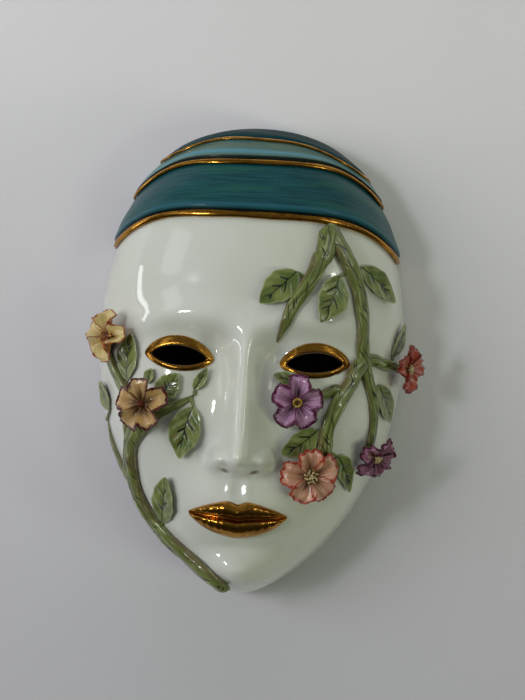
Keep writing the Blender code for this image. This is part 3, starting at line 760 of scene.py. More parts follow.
def petal_material(flower_name):
    """A petal darker towards its throat, partly its own colour and partly painted shade in its cupped
    middle, with a painted edge and fine lines running out along it, the pale ones a painted highlight.
    """
    paint = PETAL_PAINTS[flower_name]
    finish = Finish(flower_name + "_paint")
    where = finish.place()
    along = finish.value("along")
    across = finish.value("across")
    lines = finish.noise(finish.vector(along * 0.9, across * 10.0, finish.value("piece")), 1.0, 3.0, 0.6)
    # Partly painted shade: the throat's colour reaches further out along the petal's cupped middle.
    hollow = 1.0 - abs(across) * 0.55
    finish.base(finish.span(along / hollow, 0.16, 0.74), paint.throat, paint.face)
    # Painted highlight: the pale streaks.
    finish.over(finish.span(lines, 0.50, 0.74, 0.0, 0.65), paint.streak)
    finish.over(finish.span(lines, 0.44, 0.28, 0.0, 0.40), paint.throat)
    width = paint.edge_width
    ragged = finish.noise(where, 0.7) * (1.5 * width) - 0.75 * width
    finish.over(finish.span(finish.value("margin") + ragged, 1.1 * width, 0.5 * width), paint.edge)
    cloud = finish.noise(where, 0.22, 2.0)
    finish.over(finish.value("under"), finish.mix(finish.span(cloud, 0.3, 0.7), paint.back, paint.edge))
    return finish.glazed(0.24, finish.bump(lines, 0.32, 0.6))


def grain_material(name, dark, middle, light, metallic):
    """Little beads, each with its own shade."""
    finish = Finish(name)
    spotted = finish.noise(finish.place(), 1.2, 2.0)
    shade = finish.value("shade") + (spotted * 0.4 - 0.2)
    finish.base(finish.span(shade, 0.0, 0.5), dark, middle)
    finish.over(finish.span(shade, 0.5, 0.9), light)
    return finish.done(0.3, finish.bump(spotted, 0.1), Metallic=finish.span(shade, 0.4, 0.8, 0.0, metallic),
                       Coat_Weight=0.6, Coat_Roughness=0.05)


def calyx_material():
    finish = Finish("calyx_paint")
    where = finish.place()
    finish.base(finish.span(finish.noise(where, 0.3), 0.35, 0.7), tone(104, 112, 58), tone(118, 84, 50))
    return finish.glazed(0.35, finish.bump(finish.noise(where, 0.8, 2.0), 0.2))


def brass_material():
    """Old brass wire: duller and browner in patches, with fine drawing lines."""
    finish = Finish("hanger_brass")
    where = finish.place()
    tarnish = finish.noise(where, 0.12, 4.0, 0.6)
    finish.base(finish.span(tarnish, 0.40, 0.70), tone(196, 160, 92), tone(120, 88, 48))
    rough = finish.span(tarnish, 0.3, 0.7, 0.22, 0.45)
    return finish.done(rough, finish.bump(finish.noise(where, 2.0, 2.0), 0.05), Metallic=1.0)


# ---------------------------------------------------------------- the porcelain shell

def end_spaced(count, low, high, power=0.5):
    """Numbers from low to high, closer together at both ends."""
    q = np.linspace(-1.0, 1.0, count)
    even = (1.0 - power) * q + power * np.sin(0.5 * math.pi * q)
    return low + (high - low) * 0.5 * (even + 1.0)


def inner_skin(share, z_outer):
    """The inside of the casting, at the places behind those of the outer face."""
    rise = (z_outer - OUTER.chin) / (OUTER.top - OUTER.chin)
    return skin(INNER, share, INNER.chin + rise * (INNER.top - INNER.chin), INNER_HILLS)


def face_shell(material):
    """The slip-cast shell, glazed outside, with the eyes cut through."""
    levels = end_spaced(330, OUTER.chin, OUTER.top, 1.0)
    share = end_spaced(301, -1.0, 1.0, 0.3)
    outer = skin(OUTER, *np.meshgrid(share, levels))
    x, z = outer[..., 0], outer[..., 2]
    outer[..., 1] -= fine_relief(x, z)
    inner = inner_skin(*np.meshgrid(share, levels))
    for grid in (outer, inner):
        grid[:, [0, -1], 1] = 0.0
        grid[[0, -1], :, 1] = 0.0
    shell = slab("face_shell_glazed", outer, inner, material, {"nostril": nostril(x, z)})
    shell.data.attributes["under"].name = "inside"
    cutters = [eye_cutter("left_eye_cutter", -1), eye_cutter("right_eye_cutter", 1)]
    for cutter in cutters:
        cut(shell, cutter)
    for cutter in cutters:
        bpy.data.objects.remove(cutter)
    return replace(shell, "face_shell")


def cut(target, cutter):
    boolean = target.modifiers.new("cut", "BOOLEAN")
    boolean.operation = "DIFFERENCE"
    boolean.solver = "MANIFOLD"
    boolean.object = cutter
    bpy.context.view_layer.objects.active = target
    bpy.ops.object.modifier_apply(modifier=boolean.name)


def eye_outline(side, grow_long, grow_tall, count):
    """An almond round an eye, level at its corners, as x and z for each angle."""
    angle = once_round(count)
    x = (EYE_HALF_LENGTH + grow_long) * np.cos(angle)
    tall = np.where(np.sin(angle) > 0.0, EYE_UPPER, EYE_LOWER) + grow_tall
    z = tall * np.sign(np.sin(angle)) * np.abs(np.sin(angle)) ** 1.35 + EYE_TILT * x
    return side * (EYE_X + x), EYE_Z + z


def eye_cutter(name, side):
    """A straight block with an eye's outline, long enough to pass through the shell's front only."""
    x, z = eye_outline(side, 0.0, 0.0, 96)
    rings = np.stack([joined(x, y, z) for y in (-78.0, -18.0)])
    return tube(name, rings, bpy.data.materials.new(name))


# Each step across a gilded lid, from inside the opening outwards: how far beyond the opening it lies, as a
# share of the lid's width, and how far it stands off the face.
LID_STEPS = ((-0.62, -7.5), (-0.5, -7.5), (-0.45, 0.1), (1.0, 0.05), (1.02, 0.45), (0.93, 0.95),
             (0.72, 1.35), (0.45, 1.75), (0.20, 2.0), (-0.05, 2.1), (-0.28, 1.95), (-0.45, 1.5),
             (-0.58, 0.8), (-0.62, -0.5))


def eye_rim(name, side, material):
    """The gilded lids: the upper one broad and the lower one narrow, rolled in at the opening."""
    count = 160
    upper = smooth(0.5 + 1.6 * np.sin(once_round(count)))
    lid = 1.9 + 2.0 * upper
    rings = np.zeros((count, len(LID_STEPS), 3))
    for j, (reach, height) in enumerate(LID_STEPS):
        grow_tall = reach * lid if reach > 0.0 else np.full(count, reach)
        grow_long = 2.6 * reach if reach > 0.0 else 1.4 * reach
        x, z = eye_outline(side, grow_long, grow_tall, count)
        lift = height * (1.0 - 0.35 * (1.0 - upper)) if height > 0.5 else height
        rings[:, j] = joined(x, skin_y(x, z) - lift, z)
    # The rings down inside the opening are marked for the gold's painted shade.
    inner = np.zeros(rings.shape[:2])
    inner[:, [0, 1, -1]] = 1.0
    inner[:, -2] = 0.6
    return replace(closed_ring(name + "_gilded", rings, material, {"inner": inner}), name)


def lip_spans(x):
    """The heights of the upper and the lower lip at a place along the mouth."""
    a = np.abs(x)
    up = 8.2 * np.clip(1.0 - (a / MOUTH_HALF) ** 1.7, 0.0, 1.0) ** 0.95 - 1.8 * np.exp(-((x / 2.8) ** 2))
    down = 9.6 * np.clip(1.0 - (a / MOUTH_HALF) ** 2, 0.0, 1.0) ** 0.8
    return np.maximum(up, 0.4), np.maximum(down, 0.4)


def lip_heights(x, z):
    """How far the lips stand in front of the mouth's surroundings."""
    a = np.abs(x)
    line = MOUTH_Z + 1.2 * (a / MOUTH_HALF) ** 2 - 0.7 * np.exp(-((x / 3.2) ** 2))
    inside = np.clip(1.0 - (a / MOUTH_HALF) ** 2, 0.0, 1.0)
    up, down = lip_spans(x)
    share_up = np.clip((z - line) / up, 0.0, 1.0)
    share_down = np.clip((line - z) / down, 0.0, 1.0)
    upper = 3.4 * np.sqrt(inside) * (4.0 * share_up * (1.0 - share_up)) ** 0.55
    lower = 4.4 * np.sqrt(inside) * (4.0 * share_down * (1.0 - share_down)) ** 0.5
    groove = 1.6 * np.sqrt(inside) * np.exp(-(((z - line) / 0.8) ** 2))
    return np.maximum(upper + lower - groove, 0.0)


def gilded_lips(material):
    x = 0.97 * MOUTH_HALF * np.sin(0.5 * math.pi * np.linspace(-1.0, 1.0, 141))
    up, down = lip_spans(x)
    middle = MOUTH_Z + 1.2 * (np.abs(x) / MOUTH_HALF) ** 2
    across = end_spaced(81, -1.0, 1.0, 0.8)[:, None]
    z = middle + np.where(across > 0.0, across * up, across * down)
    x = np.broadcast_to(x, z.shape)
    base = skin_y(x, z) - fine_relief(x, z)
    creases = 0.12 * np.sin(1.9 * x + 0.6 * np.sin(0.9 * x)) * np.sin(math.pi * np.abs(across)) ** 2
    height = lip_heights(x, z) + creases
    edge = np.minimum(1.0 - np.abs(across), 0.08) / 0.08
    front = joined(x, base - 0.55 * np.sqrt(edge) - height, z)
    back = joined(x, base + 0.6, z)
    return replace(slab("gilded_lips_lustre", front, back, material), "gilded_lips")


# ---------------------------------------------------------------- the headwrap

def lower_line(share):
    return 0.598 - 0.14 * smooth(np.abs(share) / 0.95) ** 3


def middle_line(share):
    return 0.828 - 0.14 * smooth(np.abs(share) / 0.95) ** 4 + 0.01 * share


def upper_line(share):
    return 0.930 - 0.11 * smooth(np.abs(share) / 0.84) ** 2.6 - 0.02 * share


def rounded(climb):
    """1 over most of a strip, falling off in a quarter circle at its lower edge."""
    return np.sqrt(1.0 - (1.0 - np.clip(climb / ROUNDED_SHARE, 0.0, 1.0)) ** 2)


def band(name, low, high, thick, material):
    """A strip of the headwrap: soft folds along it, rounded at its lower edge."""
    share = end_spaced(261, -1.0, 1.0, 0.4)
    climb = end_spaced(61, 0.0, 1.0, 0.8)[:, None]
    level = low(share) + (high(share) - low(share)) * climb
    share, climb = np.broadcast_arrays(share, climb)
    ripple = 0.16 * np.sin(9.0 * climb + 2.0 * np.sin(2.4 * share)) * np.sin(math.pi * climb)
    by = BAND_OFF + (thick - BAND_OFF + ripple) * rounded(climb)
    front = skin(grown(OUTER, by), share, level_z(grown(OUTER, by), level))
    under = grown(OUTER, BAND_OFF - BAND_SUNK)
    back = skin(under, share, level_z(under, level))
    for grid in (front, back):
        grid[:, [0, -1], 1] = 0.0
        grid[..., 1] = np.minimum(grid[..., 1], 0.0)
    return slab(name, front, back, material, {"around": share, "climb": climb})


def gilt_edge(name, line, height, tall, proud, material):
    """A flattened gold roll along a line of the headwrap, thinning to nothing at both rims."""
    share = end_spaced(321, -0.998, 0.998, 0.6)
    thin = np.clip((1.0 - np.abs(share)) / 0.16, 0.0, 1.0) ** 0.6
    theta = once_round(20)
    up = 0.5 * tall * thin[:, None] * np.cos(theta)
    out = 0.5 * proud * (0.55 + 0.45 * thin[:, None]) * (1.0 + np.sin(theta))
    wobble = 0.10 * np.sin(17.0 * share + np.sin(5.0 * share))[:, None]
    by = height + out + 0.1
    egg = grown(OUTER, by)
    z = level_z(egg, line(share)[:, None]) - GILT_DROP + up * (1.0 + wobble)
    rings = skin(egg, np.broadcast_to(share[:, None], z.shape), z)
    rings[..., 1] = np.minimum(rings[..., 1], 0.0)
    return replace(tube(name + "_lustre", rings, material), name)


def headwrap(gold):
    strips = (
        ("headwrap_lower_band", lower_line, middle_line, BAND_LOWER_THICK, "teal_enamel", "teal_glaze"),
        ("headwrap_middle_band", middle_line, upper_line, BAND_MIDDLE_THICK, "turquoise_enamel",
         "turquoise_glaze"),
        ("headwrap_crown", upper_line, np.ones_like, BAND_CROWN_THICK, "crown_enamel", "teal_glaze"),
    )
    for name, low, high, thick, enamel, slot_name in strips:
        replace(band(name + "_enamel", low, high, thick, band_material(enamel)), name)
    gilt_edge("headwrap_lower_gilt_edge", lower_line, 0.0, 3.0, 2.0, gold)
    gilt_edge("headwrap_middle_gilt_edge", middle_line, BAND_LOWER_THICK, 2.2, 1.6, gold)
    gilt_edge("headwrap_upper_gilt_edge", upper_line, BAND_MIDDLE_THICK, 1.35, 1.1, gold)


# ---------------------------------------------------------------- stems

Stem = namedtuple("Stem", "name line radii")
STEM_NAMES = ("right_main_stem", "right_inner_stem", "right_temple_twig", "right_diagonal_stem",
              "right_flower_twig", "left_main_stem", "left_rim_twig", "left_temple_stem", "left_cheek_twig")


def nearest_gap(place, line):
    gaps = np.linalg.norm(line - place, axis=1)
    return float(gaps.min()), line[int(gaps.argmin())]


# A twig's root joins the stem beside it. The further off it lies, the further back along the stem it leaves.
NEAR_GAP = 9.0
JOINING_GAP = 16.0


def fork(place, line):
    """How far a stem is from a twig's root, and where the twig should leave it: a little nearer the stem's
    root."""
    gaps = np.linalg.norm(line - place, axis=1)
    nearest = int(gaps.argmin())
    back = (0.4 if gaps.min() < NEAR_GAP else 0.9) * gaps.min()
    before = np.linalg.norm(line[: nearest + 1] - line[nearest], axis=1)
    return float(gaps.min()), line[int(np.abs(before - back).argmin())]


def read_stems():
    """Every stem's middle line from its root to its tip. A twig's root is the end by the stem it grows
    from."""
    stems = []
    for name in STEM_NAMES:
        line, (first, last) = centreline(name)
        main = name.endswith("main_stem")
        if main:
            turn = last > first
        else:
            gaps = [min(nearest_gap(end, stem.line)[0] for stem in stems) for end in (line[0], line[-1])]
            turn = gaps[1] < gaps[0]
        if turn:
            line, first, last = line[::-1], last, first
        if not main:
            gap, root = min((fork(line[0], stem.line) for stem in stems), key=lambda found: found[0])
            if gap < JOINING_GAP:
                line = np.vstack([root, line])
        stems.append(Stem(name, line, (first, last)))
    return stems


STEM_WIDE = 1.42
STEM_TALL = 0.9
STEM_STEP = 0.6
FREE_TIP = 14.0
FLOWER_CLEARANCE = 15.0
ROOT_REACH = 2.2


def crease_at(theta, middle, width):
    return np.exp(-(((theta - middle) / width) ** 2))


def stem_rings(line, radii, phase, free_end):
    """Rings of a hand-rolled stem lying on the face: two strands with a groove between them."""
    line = soften(resample(line, STEM_STEP), 12)
    count, size = len(line), 36
    length = np.linspace(0.0, 1.0, count)
    mm = STEM_STEP * np.arange(count)
    radius = radii[0] + (radii[1] - radii[0]) * length
    radius = radius * (1.0 + 0.035 * np.sin(0.30 * mm + phase) + 0.015 * np.sin(0.83 * mm + 2.0 * phase))
    end = np.minimum(mm, mm[::-1])
    radius = radius * np.sqrt(1.0 - (1.0 - np.clip(end / (0.9 * radius), 0.02, 1.0)) ** 2)
    if free_end:
        radius = radius * np.clip(0.15 + 0.85 * mm[::-1] / FREE_TIP, 0.0, 1.0) ** 0.8
    line = drape(line, 0.5 * radius)
    forward = heading(line)
    side = unit(np.cross(forward, height_and_normal(line)[1]))
    up = np.cross(side, forward)
    theta = np.linspace(-math.pi, math.pi, size, endpoint=False)[None]
    drift = 0.35 * np.sin(0.09 * mm + phase)[:, None] + 0.15 * np.sin(0.31 * mm + phase)[:, None]
    groove = crease_at(theta, drift, 0.17)
    second = crease_at(theta, drift + 1.15, 0.13) * smooth(0.5 + np.sin(0.21 * mm + phase))[:, None]
    third = crease_at(theta, drift - 1.25, 0.13) * smooth(0.4 + np.sin(0.17 * mm + 2.0 * phase))[:, None]
    # The crease value marks the grooves, where the stem paint lays painted shade.
    crease = np.maximum(np.maximum(groove, 0.8 * second), 0.8 * third)
    flutes = np.cos(7.0 * theta + 0.16 * mm[:, None] + phase) + np.cos(4.0 * theta - 0.11 * mm[:, None])
    lobes = 1.0 + 0.025 * flutes - 0.13 * groove - 0.10 * second - 0.10 * third
    reach = radius[:, None] * lobes
    rings = (line[:, None] + side[:, None] * (STEM_WIDE * reach * np.sin(theta))[..., None]
             + up[:, None] * (STEM_TALL * reach * np.cos(theta))[..., None])
    return rings, {"around": theta / math.pi, "crease": crease, "along": mm[:, None]}


def build_stems(stems):
    material = stem_material()
    feet = np.array([read_flower(name).foot for name in PETAL_FORMS])
    for k, stem in enumerate(stems):
        gap, foot = nearest_gap(stem.line[-1], feet)
        line = stem.line
        if stem.name == "right_main_stem":
            line = np.vstack([line[0] + ROOT_REACH * unit(line[0] - line[4]), line])
        if gap < FLOWER_CLEARANCE:
            line = np.vstack([line, line[-1] + 0.7 * (foot - line[-1])])
        rings, values = stem_rings(line, stem.radii, 1.7 * k + 0.4, gap > FLOWER_CLEARANCE)
        replace(tube(stem.name + "_painted", rings, material, values), stem.name)


# ---------------------------------------------------------------- leaves

LEAF_NAMES = (
    "right_brow_leaf", "right_fork_leaf", "right_forehead_leaf", "right_temple_leaf", "right_nose_leaf",
    "right_side_leaf", "right_cheek_leaf", "right_jaw_leaf", "left_cheek_leaf", "left_under_eye_leaf",
    "left_bud_leaf", "left_temple_leaf", "left_edge_leaf", "left_jaw_leaf", "left_blade_leaf",
)
LONGEST_STALK = 12.0
SMALL_LEAF = 16.0


def read_leaf(name, stems):
    """A leaf's base and tip as (share, height), its width and its tip's height over the face."""
    points, triangles = node_mesh(name)
    places, weights, _ = spread_samples(points, triangles, np.zeros(len(points)))
    middle = np.average(places, axis=0, weights=weights)
    spread = ((places - middle) * weights[:, None]).T @ (places - middle)
    _, axes = np.linalg.eigh(spread)
    run = (places - middle) @ axes[:, 2]
    wide = (places - middle) @ axes[:, 1]
    ends = [places[run > run.max() - 0.8].mean(axis=0), places[run < run.min() + 0.8].mean(axis=0)]
    gaps = [min(nearest_gap(end, stem.line)[0] for stem in stems) for end in ends]
    base, tip = ends if gaps[0] < gaps[1] else ends[::-1]
    lift = max(float(height_and_normal(tip[None])[0][0]) - 1.1, 0.3)
    on_face = share_of(drape(np.array([base, tip]), np.zeros(2)))
    return on_face[0], on_face[1], wide.max() - wide.min(), lift


def vein_pattern(along, across, half, count, phase):
    """How strongly a place on a leaf is painted as a vein: the midrib and the side veins that leave it."""
    rib = np.exp(-((across * half / 0.31) ** 2)) * smooth((0.88 - along) / 0.15)
    paint = rib
    for k in range(count):
        for side in (-1.0, 1.0):
            spot = phase + 2.3 * k + side
            start = 0.17 + 0.60 * (k + 0.5 + 0.30 * side * math.cos(spot)) / count
            slope = 0.30 + 0.08 * math.sin(2.0 * spot)
            reach = smooth((0.58 + 0.12 * math.sin(3.0 * spot) - np.abs(across)) / 0.16)
            reach = reach * (side * across > 0.0)
            width = 0.30 * (1.2 - 0.9 * np.abs(across))
            line = np.exp(-(((along - slope * np.abs(across) - start) * 15.0 / (2.0 * width)) ** 2))
            paint = np.maximum(paint, (0.80 + 0.2 * math.cos(spot)) * line * reach)
    return paint


def leaf_sheet(name, leaf, k, material, stems):
    """A leaf lying on the face: veined, folded a little along its midrib, with wavy margins."""
    base, tip, width, lift = leaf
    rows, columns = 96, 45
    along = np.linspace(0.0, 1.0, rows)
    across = end_spaced(columns, -1.0, 1.0, 0.4)
    line = skin(OUTER, base[0] + (tip[0] - base[0]) * along, base[1] + (tip[1] - base[1]) * along)
    line = drape(line, np.zeros(rows))
    forward = heading(line)
    sideways = unit(np.cross(height_and_normal(line)[1], forward))
    phase = 1.3 * k
    length = np.linalg.norm(line[-1] - line[0])
    widest = 0.55 if width < 0.42 * length else 0.85
    half = 0.5 * (width - 0.7) * np.sin(math.pi * along**widest) ** 0.8 + 0.35
    bend = 0.05 * length * math.sin(phase) * np.sin(math.pi * along)
    wave = 1.0 + 0.035 * np.sin(23.0 * along + phase)
    grid_along, grid_across = np.broadcast_arrays(along[:, None], across[None])
    flat = line[:, None] + sideways[:, None] * (bend[:, None] + (half * wave)[:, None] * across)[..., None]
    veins = vein_pattern(grid_along, grid_across, half[:, None], 2 if length < SMALL_LEAF else 3, phase)
    belly = np.sin(math.pi * along)[:, None]
    slant = (grid_along - 0.26 * np.abs(grid_across)) * 2.0 * math.pi * 4.0
    puff = 0.24 * np.cos(slant + phase) * belly * np.abs(grid_across) * (1.0 - np.abs(grid_across)) * 4.0
    trough = 0.9 * np.abs(grid_across) ** 1.3 * belly
    wavy = np.sin(3.0 * math.pi * grid_along + phase + np.sign(grid_across))
    ruffle = 0.22 * wavy * np.abs(grid_across) ** 2
    top = 1.35 + lift * grid_along**2 + trough + puff + ruffle - 0.22 * veins
    edge = np.minimum(1.0 - np.abs(grid_across), np.minimum(grid_along, 1.0 - grid_along) * 3.0)
    thick = 0.35 + 0.9 * np.sqrt(np.clip(edge / 0.22, 0.0, 1.0))
    front = drape(flat, top - 0.25 * (1.0 - np.clip(edge / 0.08, 0.0, 1.0)))
    back = drape(flat, np.maximum(top - thick, -0.4))
    values = {"along": grid_along, "across": grid_across, "vein": veins,
              "margin": (1.0 - np.abs(grid_across)) * half[:, None]}
    sheet = slab(name + "_painted", front, back, material, values)
    stalk_from(name, drape(line[:1], np.array([0.6]))[0], forward[0], stems, material)
    return replace(sheet, name)


def stalk_from(name, foot, forward, stems, material):
    """A short stalk from the nearest stem to a leaf's base."""
    gap, root = min((nearest_gap(foot, stem.line) for stem in stems), key=lambda found: found[0])
    if gap > LONGEST_STALK:
        return
    line = resample(np.stack([root, 0.5 * (root + foot) + 0.1 * forward, foot, foot + 1.6 * forward]), 0.5)
    line = soften(line, 4)
    radius = np.linspace(0.95, 0.60, len(line))
    line = drape(line, radius * 0.6)
    theta = round_ring(14)
    _, up = height_and_normal(line)
    side = unit(np.cross(heading(line), up))
    ring = side[:, None] * np.sin(theta) + up[:, None] * np.cos(theta)
    rings = line[:, None] + radius[:, None, None] * ring
    values = {"along": 0.5, "across": np.sin(theta[..., 0]), "vein": 0.0, "margin": 1.0}
    tube(name + "_stalk", rings, material, values)


def build_leaves(stems):
    material = leaf_material()
    for k, name in enumerate(LEAF_NAMES):
        leaf_sheet(name, read_leaf(name, stems), k, material, stems)


# ---------------------------------------------------------------- flowers

# How a flower's petals are formed: their width, how far their corners are cut back and how sharply, how far
# they rise, how far their sides curl up, how strongly and how often their edges are ruffled, and the kind of
# centre.
PetalForm = namedtuple("PetalForm", "width corner blunt rise curl ruffle waves centre")
PETAL_FORMS = {
    "yellow_flower": PetalForm(0.35, 0.14, 2.6, 0.28, 0.40, 0.014, 1.7, "stamens"),
    "amber_flower": PetalForm(0.39, 0.06, 3.0, 0.20, 0.40, 0.014, 1.9, "pistil"),
    "mauve_flower": PetalForm(0.40, 0.12, 2.8, 0.14, 0.34, 0.010, 1.4, "ring"),
    "coral_flower": PetalForm(0.45, 0.14, 2.6, 0.14, 0.28, 0.036, 2.8, "grains"),
    "purple_flower": PetalForm(0.40, 0.36, 1.5, 0.20, 0.30, 0.045, 2.6, "grains"),
    "red_flower": PetalForm(0.42, 0.22, 2.0, 0.22, 0.22, 0.040, 2.6, "grains"),
}
PETAL_COUNT = 5
Flower = namedtuple("Flower", "name foot axes radius throat")


def read_flower(name):
    """Where a flower stands and faces, its radius, its throat's height and the turn of its petals."""
    points, _ = node_mesh(name + "_petals")
    button, _ = node_mesh(name + "_centre")
    middle = button.mean(axis=0)
    spread = (points - points.mean(axis=0)).T @ (points - points.mean(axis=0))
    _, axes = np.linalg.eigh(spread)
    facing = axes[:, 0]
    if facing @ height_and_normal(middle[None])[1][0] < 0.0:
        facing = -facing
    rise = (points - middle) @ facing
    foot = middle + facing * rise.min()
    flat = points - middle - rise[:, None] * facing
    reach = np.linalg.norm(flat, axis=1)
    first = flat[int(reach.argmax())] / reach.max()
    axes = np.stack([first, np.cross(facing, first), facing])
    return Flower(name, foot, axes, float(reach.max()), float(-rise.min()) - 1.2)


def from_flower(flower, local):
    return flower.foot + local @ flower.axes


def polar(reach, turn, high):
    """Points about a flower's own axis."""
    return joined(reach * np.cos(turn), reach * np.sin(turn), high)


def petal_grid(flower, form, k):
    """One petal as a fan of columns from the throat: cupped, with its edge curled or ruffled."""
    rows, columns = 46, 41
    v = end_spaced(rows, 0.0, 1.0, 0.3)[:, None]
    u = end_spaced(columns, -1.0, 1.0, 0.4)[None]
    radius = flower.radius
    seed = 2.1 * k + len(flower.name)
    inner = 0.10 * radius
    length = (radius - inner) * (0.95 + 0.05 * math.sin(seed))
    spread = 0.22 + 0.78 * np.sin(0.5 * math.pi * np.clip(v / 0.74, 0.0, 1.0)) ** 1.2
    half = form.width * radius * spread * (1.0 - 0.12 * smooth((v - 0.7) / 0.3))
    turns = form.waves * math.pi * u
    ruffle = np.sin(turns + seed) + 0.5 * np.sin(2.3 * turns + 2.0 * seed)
    out = inner + length * v * (1.0 - form.corner * np.abs(u) ** form.blunt) * (
        1.0 + form.ruffle * ruffle * smooth((v - 0.6) / 0.4))
    sideways = half * u + 0.04 * radius * math.sin(seed) * v**2
    belly = np.sin(math.pi * np.clip(v, 0.0, 0.93))
    rise = form.rise * radius * v**1.3 + form.curl * radius * np.abs(u) ** 2.4 * belly
    rise -= 0.12 * radius * smooth((v - 0.72) / 0.28) * (1.0 + 0.5 * math.sin(seed))
    rise += 1.5 * form.ruffle * radius * np.cos(turns + seed + 2.0 * v) * v**2
    crease = 0.075 * radius * np.exp(-((u / 0.10) ** 2)) * smooth((0.75 - v) / 0.5)
    fold_u = 0.5 * math.sin(seed + 1.0)
    fold = 0.075 * radius * np.exp(-(((u - fold_u) / 0.16) ** 2)) * np.sin(math.pi * v) ** 2
    tilt = 0.10 * radius * math.sin(1.7 * seed) * v + 0.05 * radius * u * math.cos(seed) * v
    high = flower.throat - 0.3 + rise + tilt - fold - crease + 0.35 * (k % 2) * (1.0 - v)
    margin = np.minimum((1.0 - np.abs(u)) * half, (1.0 - v) * length)
    margin = margin + 2.4 * (1.0 - smooth((v - 0.2) / 0.5))
    return joined(out, sideways, high), u, v, margin


def build_petals(flower, form, material):
    for k in range(PETAL_COUNT):
        local, u, v, margin = petal_grid(flower, form, k)
        turn = 2.0 * math.pi * k / PETAL_COUNT
        spin = np.array([[math.cos(turn), math.sin(turn), 0.0],
                         [-math.sin(turn), math.cos(turn), 0.0],
                         [0.0, 0.0, 1.0]])
        edge = np.clip(np.minimum(1.0 - np.abs(u), 1.0 - v) / 0.12, 0.0, 1.0)
        thick = 0.35 + 0.65 * np.sqrt(edge)
        normal = grid_normals(local)
        normal *= np.sign(normal[..., 2:].mean())
        front = from_flower(flower, (local + 0.15 * normal * np.sqrt(edge)[..., None]) @ spin)
        back = from_flower(flower, (local - normal * thick[..., None]) @ spin)
        values = {"along": v, "across": u, "margin": margin, "piece": 3.7 * k}
        petal = slab(f"{flower.name}_petal_{k + 1}", front, back, material, values)
        replace(petal, flower.name + "_petals")


# Each ring of a calyx from its foot up: its radius, its share of the height, and whether it is pointed.
CALYX_RINGS = ((2.5, -0.5, 0.0), (2.2, 0.25, 0.0), (1.8, 0.5, 0.0), (2.3, 0.75, 0.0), (3.2, 0.90, 1.0),
               (3.0, 0.99, 1.0), (1.2, 0.97, 0.0))


def build_calyx(flower, material):
    """The little cup under the petals, drawn in at its waist and spread into five points."""
    theta = once_round(40)
    point = 0.5 * np.cos(PETAL_COUNT * theta + math.pi)
    far, share, lobed = np.array(CALYX_RINGS).T[..., None]
    rings = polar(far * (1.0 + 0.45 * lobed * point), theta, (flower.throat - 0.9) * share)
    tube(flower.name + "_calyx", from_flower(flower, rings), material)


def ball(segments=10, rings=6):
    """Points, quads and triangles of a small ball."""
    tilt = (math.pi * (np.arange(rings) + 0.5) / rings)[:, None]
    return capped_rings(polar(np.sin(tilt), once_round(segments), np.cos(tilt)), None)[:3]


def bead_mesh(name, flower, local, sizes, shades, material, tall=1.0):
    """Many beads as one piece: each is a ball, stretched along the flower's axis."""
    points, quads, triangles = ball()
    first = len(points) * np.arange(len(local))[:, None, None]
    balls = points * np.array([1.0, 1.0, tall]) * np.reshape(sizes, (-1, 1, 1))
    beads = (from_flower(flower, local)[:, None] + balls @ flower.axes).reshape(-1, 3)
    return quad_mesh(name, beads, (first + quads).reshape(-1, 4), material,
                     {"shade": np.repeat(shades, len(points))}, (first + triangles).reshape(-1, 3))


def spiral(count, radius):
    """Places spread evenly over a disc in a sunflower's order: how far out, as a share, and the turn."""
    k = np.arange(count) + 0.5
    reach = radius * np.sqrt(k / count)
    return reach, k * math.pi * (3.0 - math.sqrt(5.0)), reach / radius


def build_grains(flower, material):
    """A low dome of beads of many shades."""
    count = 44
    reach, turn, share = spiral(count, 3.4 if flower.name == "coral_flower" else 2.1)
    local = polar(reach, turn, flower.throat + 0.5 + 0.9 * (1.0 - share**2))
    shades = 0.5 + 0.5 * np.sin(12.9 * np.arange(count) + 4.0 * share)
    name = flower.name + "_centre_grains"
    return bead_mesh(name, flower, local, 0.5 * (0.8 + 0.4 * shades), shades, material, tall=1.3)


def build_ring(flower, material):
    """A ring of little gold beads round a darker middle."""
    around, within = 11, 8
    ring = polar(1.7, once_round(around), flower.throat + 1.4)
    reach, turn, share = spiral(within, 1.1)
    inner = polar(reach, turn, flower.throat + 1.1 - 0.3 * (1.0 - share))
    shades = np.concatenate([0.75 + 0.25 * np.sin(5.0 * np.arange(around)), np.linspace(0.0, 0.3, within)])
    sizes = np.repeat([0.62, 0.5], [around, within])
    local = np.concatenate([ring, inner])
    return bead_mesh(flower.name + "_centre_ring", flower, local, sizes, shades, material)


# Each ring of a pistil from its foot up: its radius and its height over the throat.
PISTIL_RINGS = ((1.7, -0.6), (1.75, 0.4), (1.45, 1.4), (1.05, 2.4), (0.6, 3.2), (0.2, 3.7))


def build_pistil(flower, material):
    """A pointed cone with three faint ribs."""
    theta = once_round(20)
    far, high = np.array(PISTIL_RINGS).T[..., None]
    ribbed = 1.0 + 0.08 * np.cos(3.0 * theta)
    rings = joined(far * ribbed * np.cos(theta), far * np.sin(theta), flower.throat + high)
    shade = np.linspace(0.35, 0.0, len(PISTIL_RINGS))[:, None]
    return tube(flower.name + "_centre_pistil", from_flower(flower, rings), material, {"shade": shade})


def build_stamens(flower, material):
    """Short curved threads of beads fanning out from the throat, each with a larger bead at its end."""
    threads = 9
    k = np.arange(threads)[:, None]
    step = np.linspace(0.0, 1.0, 9) + 0.0 * k
    turn = 2.0 * math.pi * k / threads + 0.2 * np.sin(3.0 * k)
    local = polar(0.5 + 3.4 * step**0.8, turn, flower.throat + 0.2 + 2.0 * step - 0.6 * step**2)
    sizes = np.where(step == 1.0, 0.62, 0.42)
    shades = np.where(step == 1.0, 0.8, 0.1 + 0.2 * step)
    name = flower.name + "_centre_stamens"
    return bead_mesh(name, flower, local.reshape(-1, 3), sizes, shades.ravel(), material)


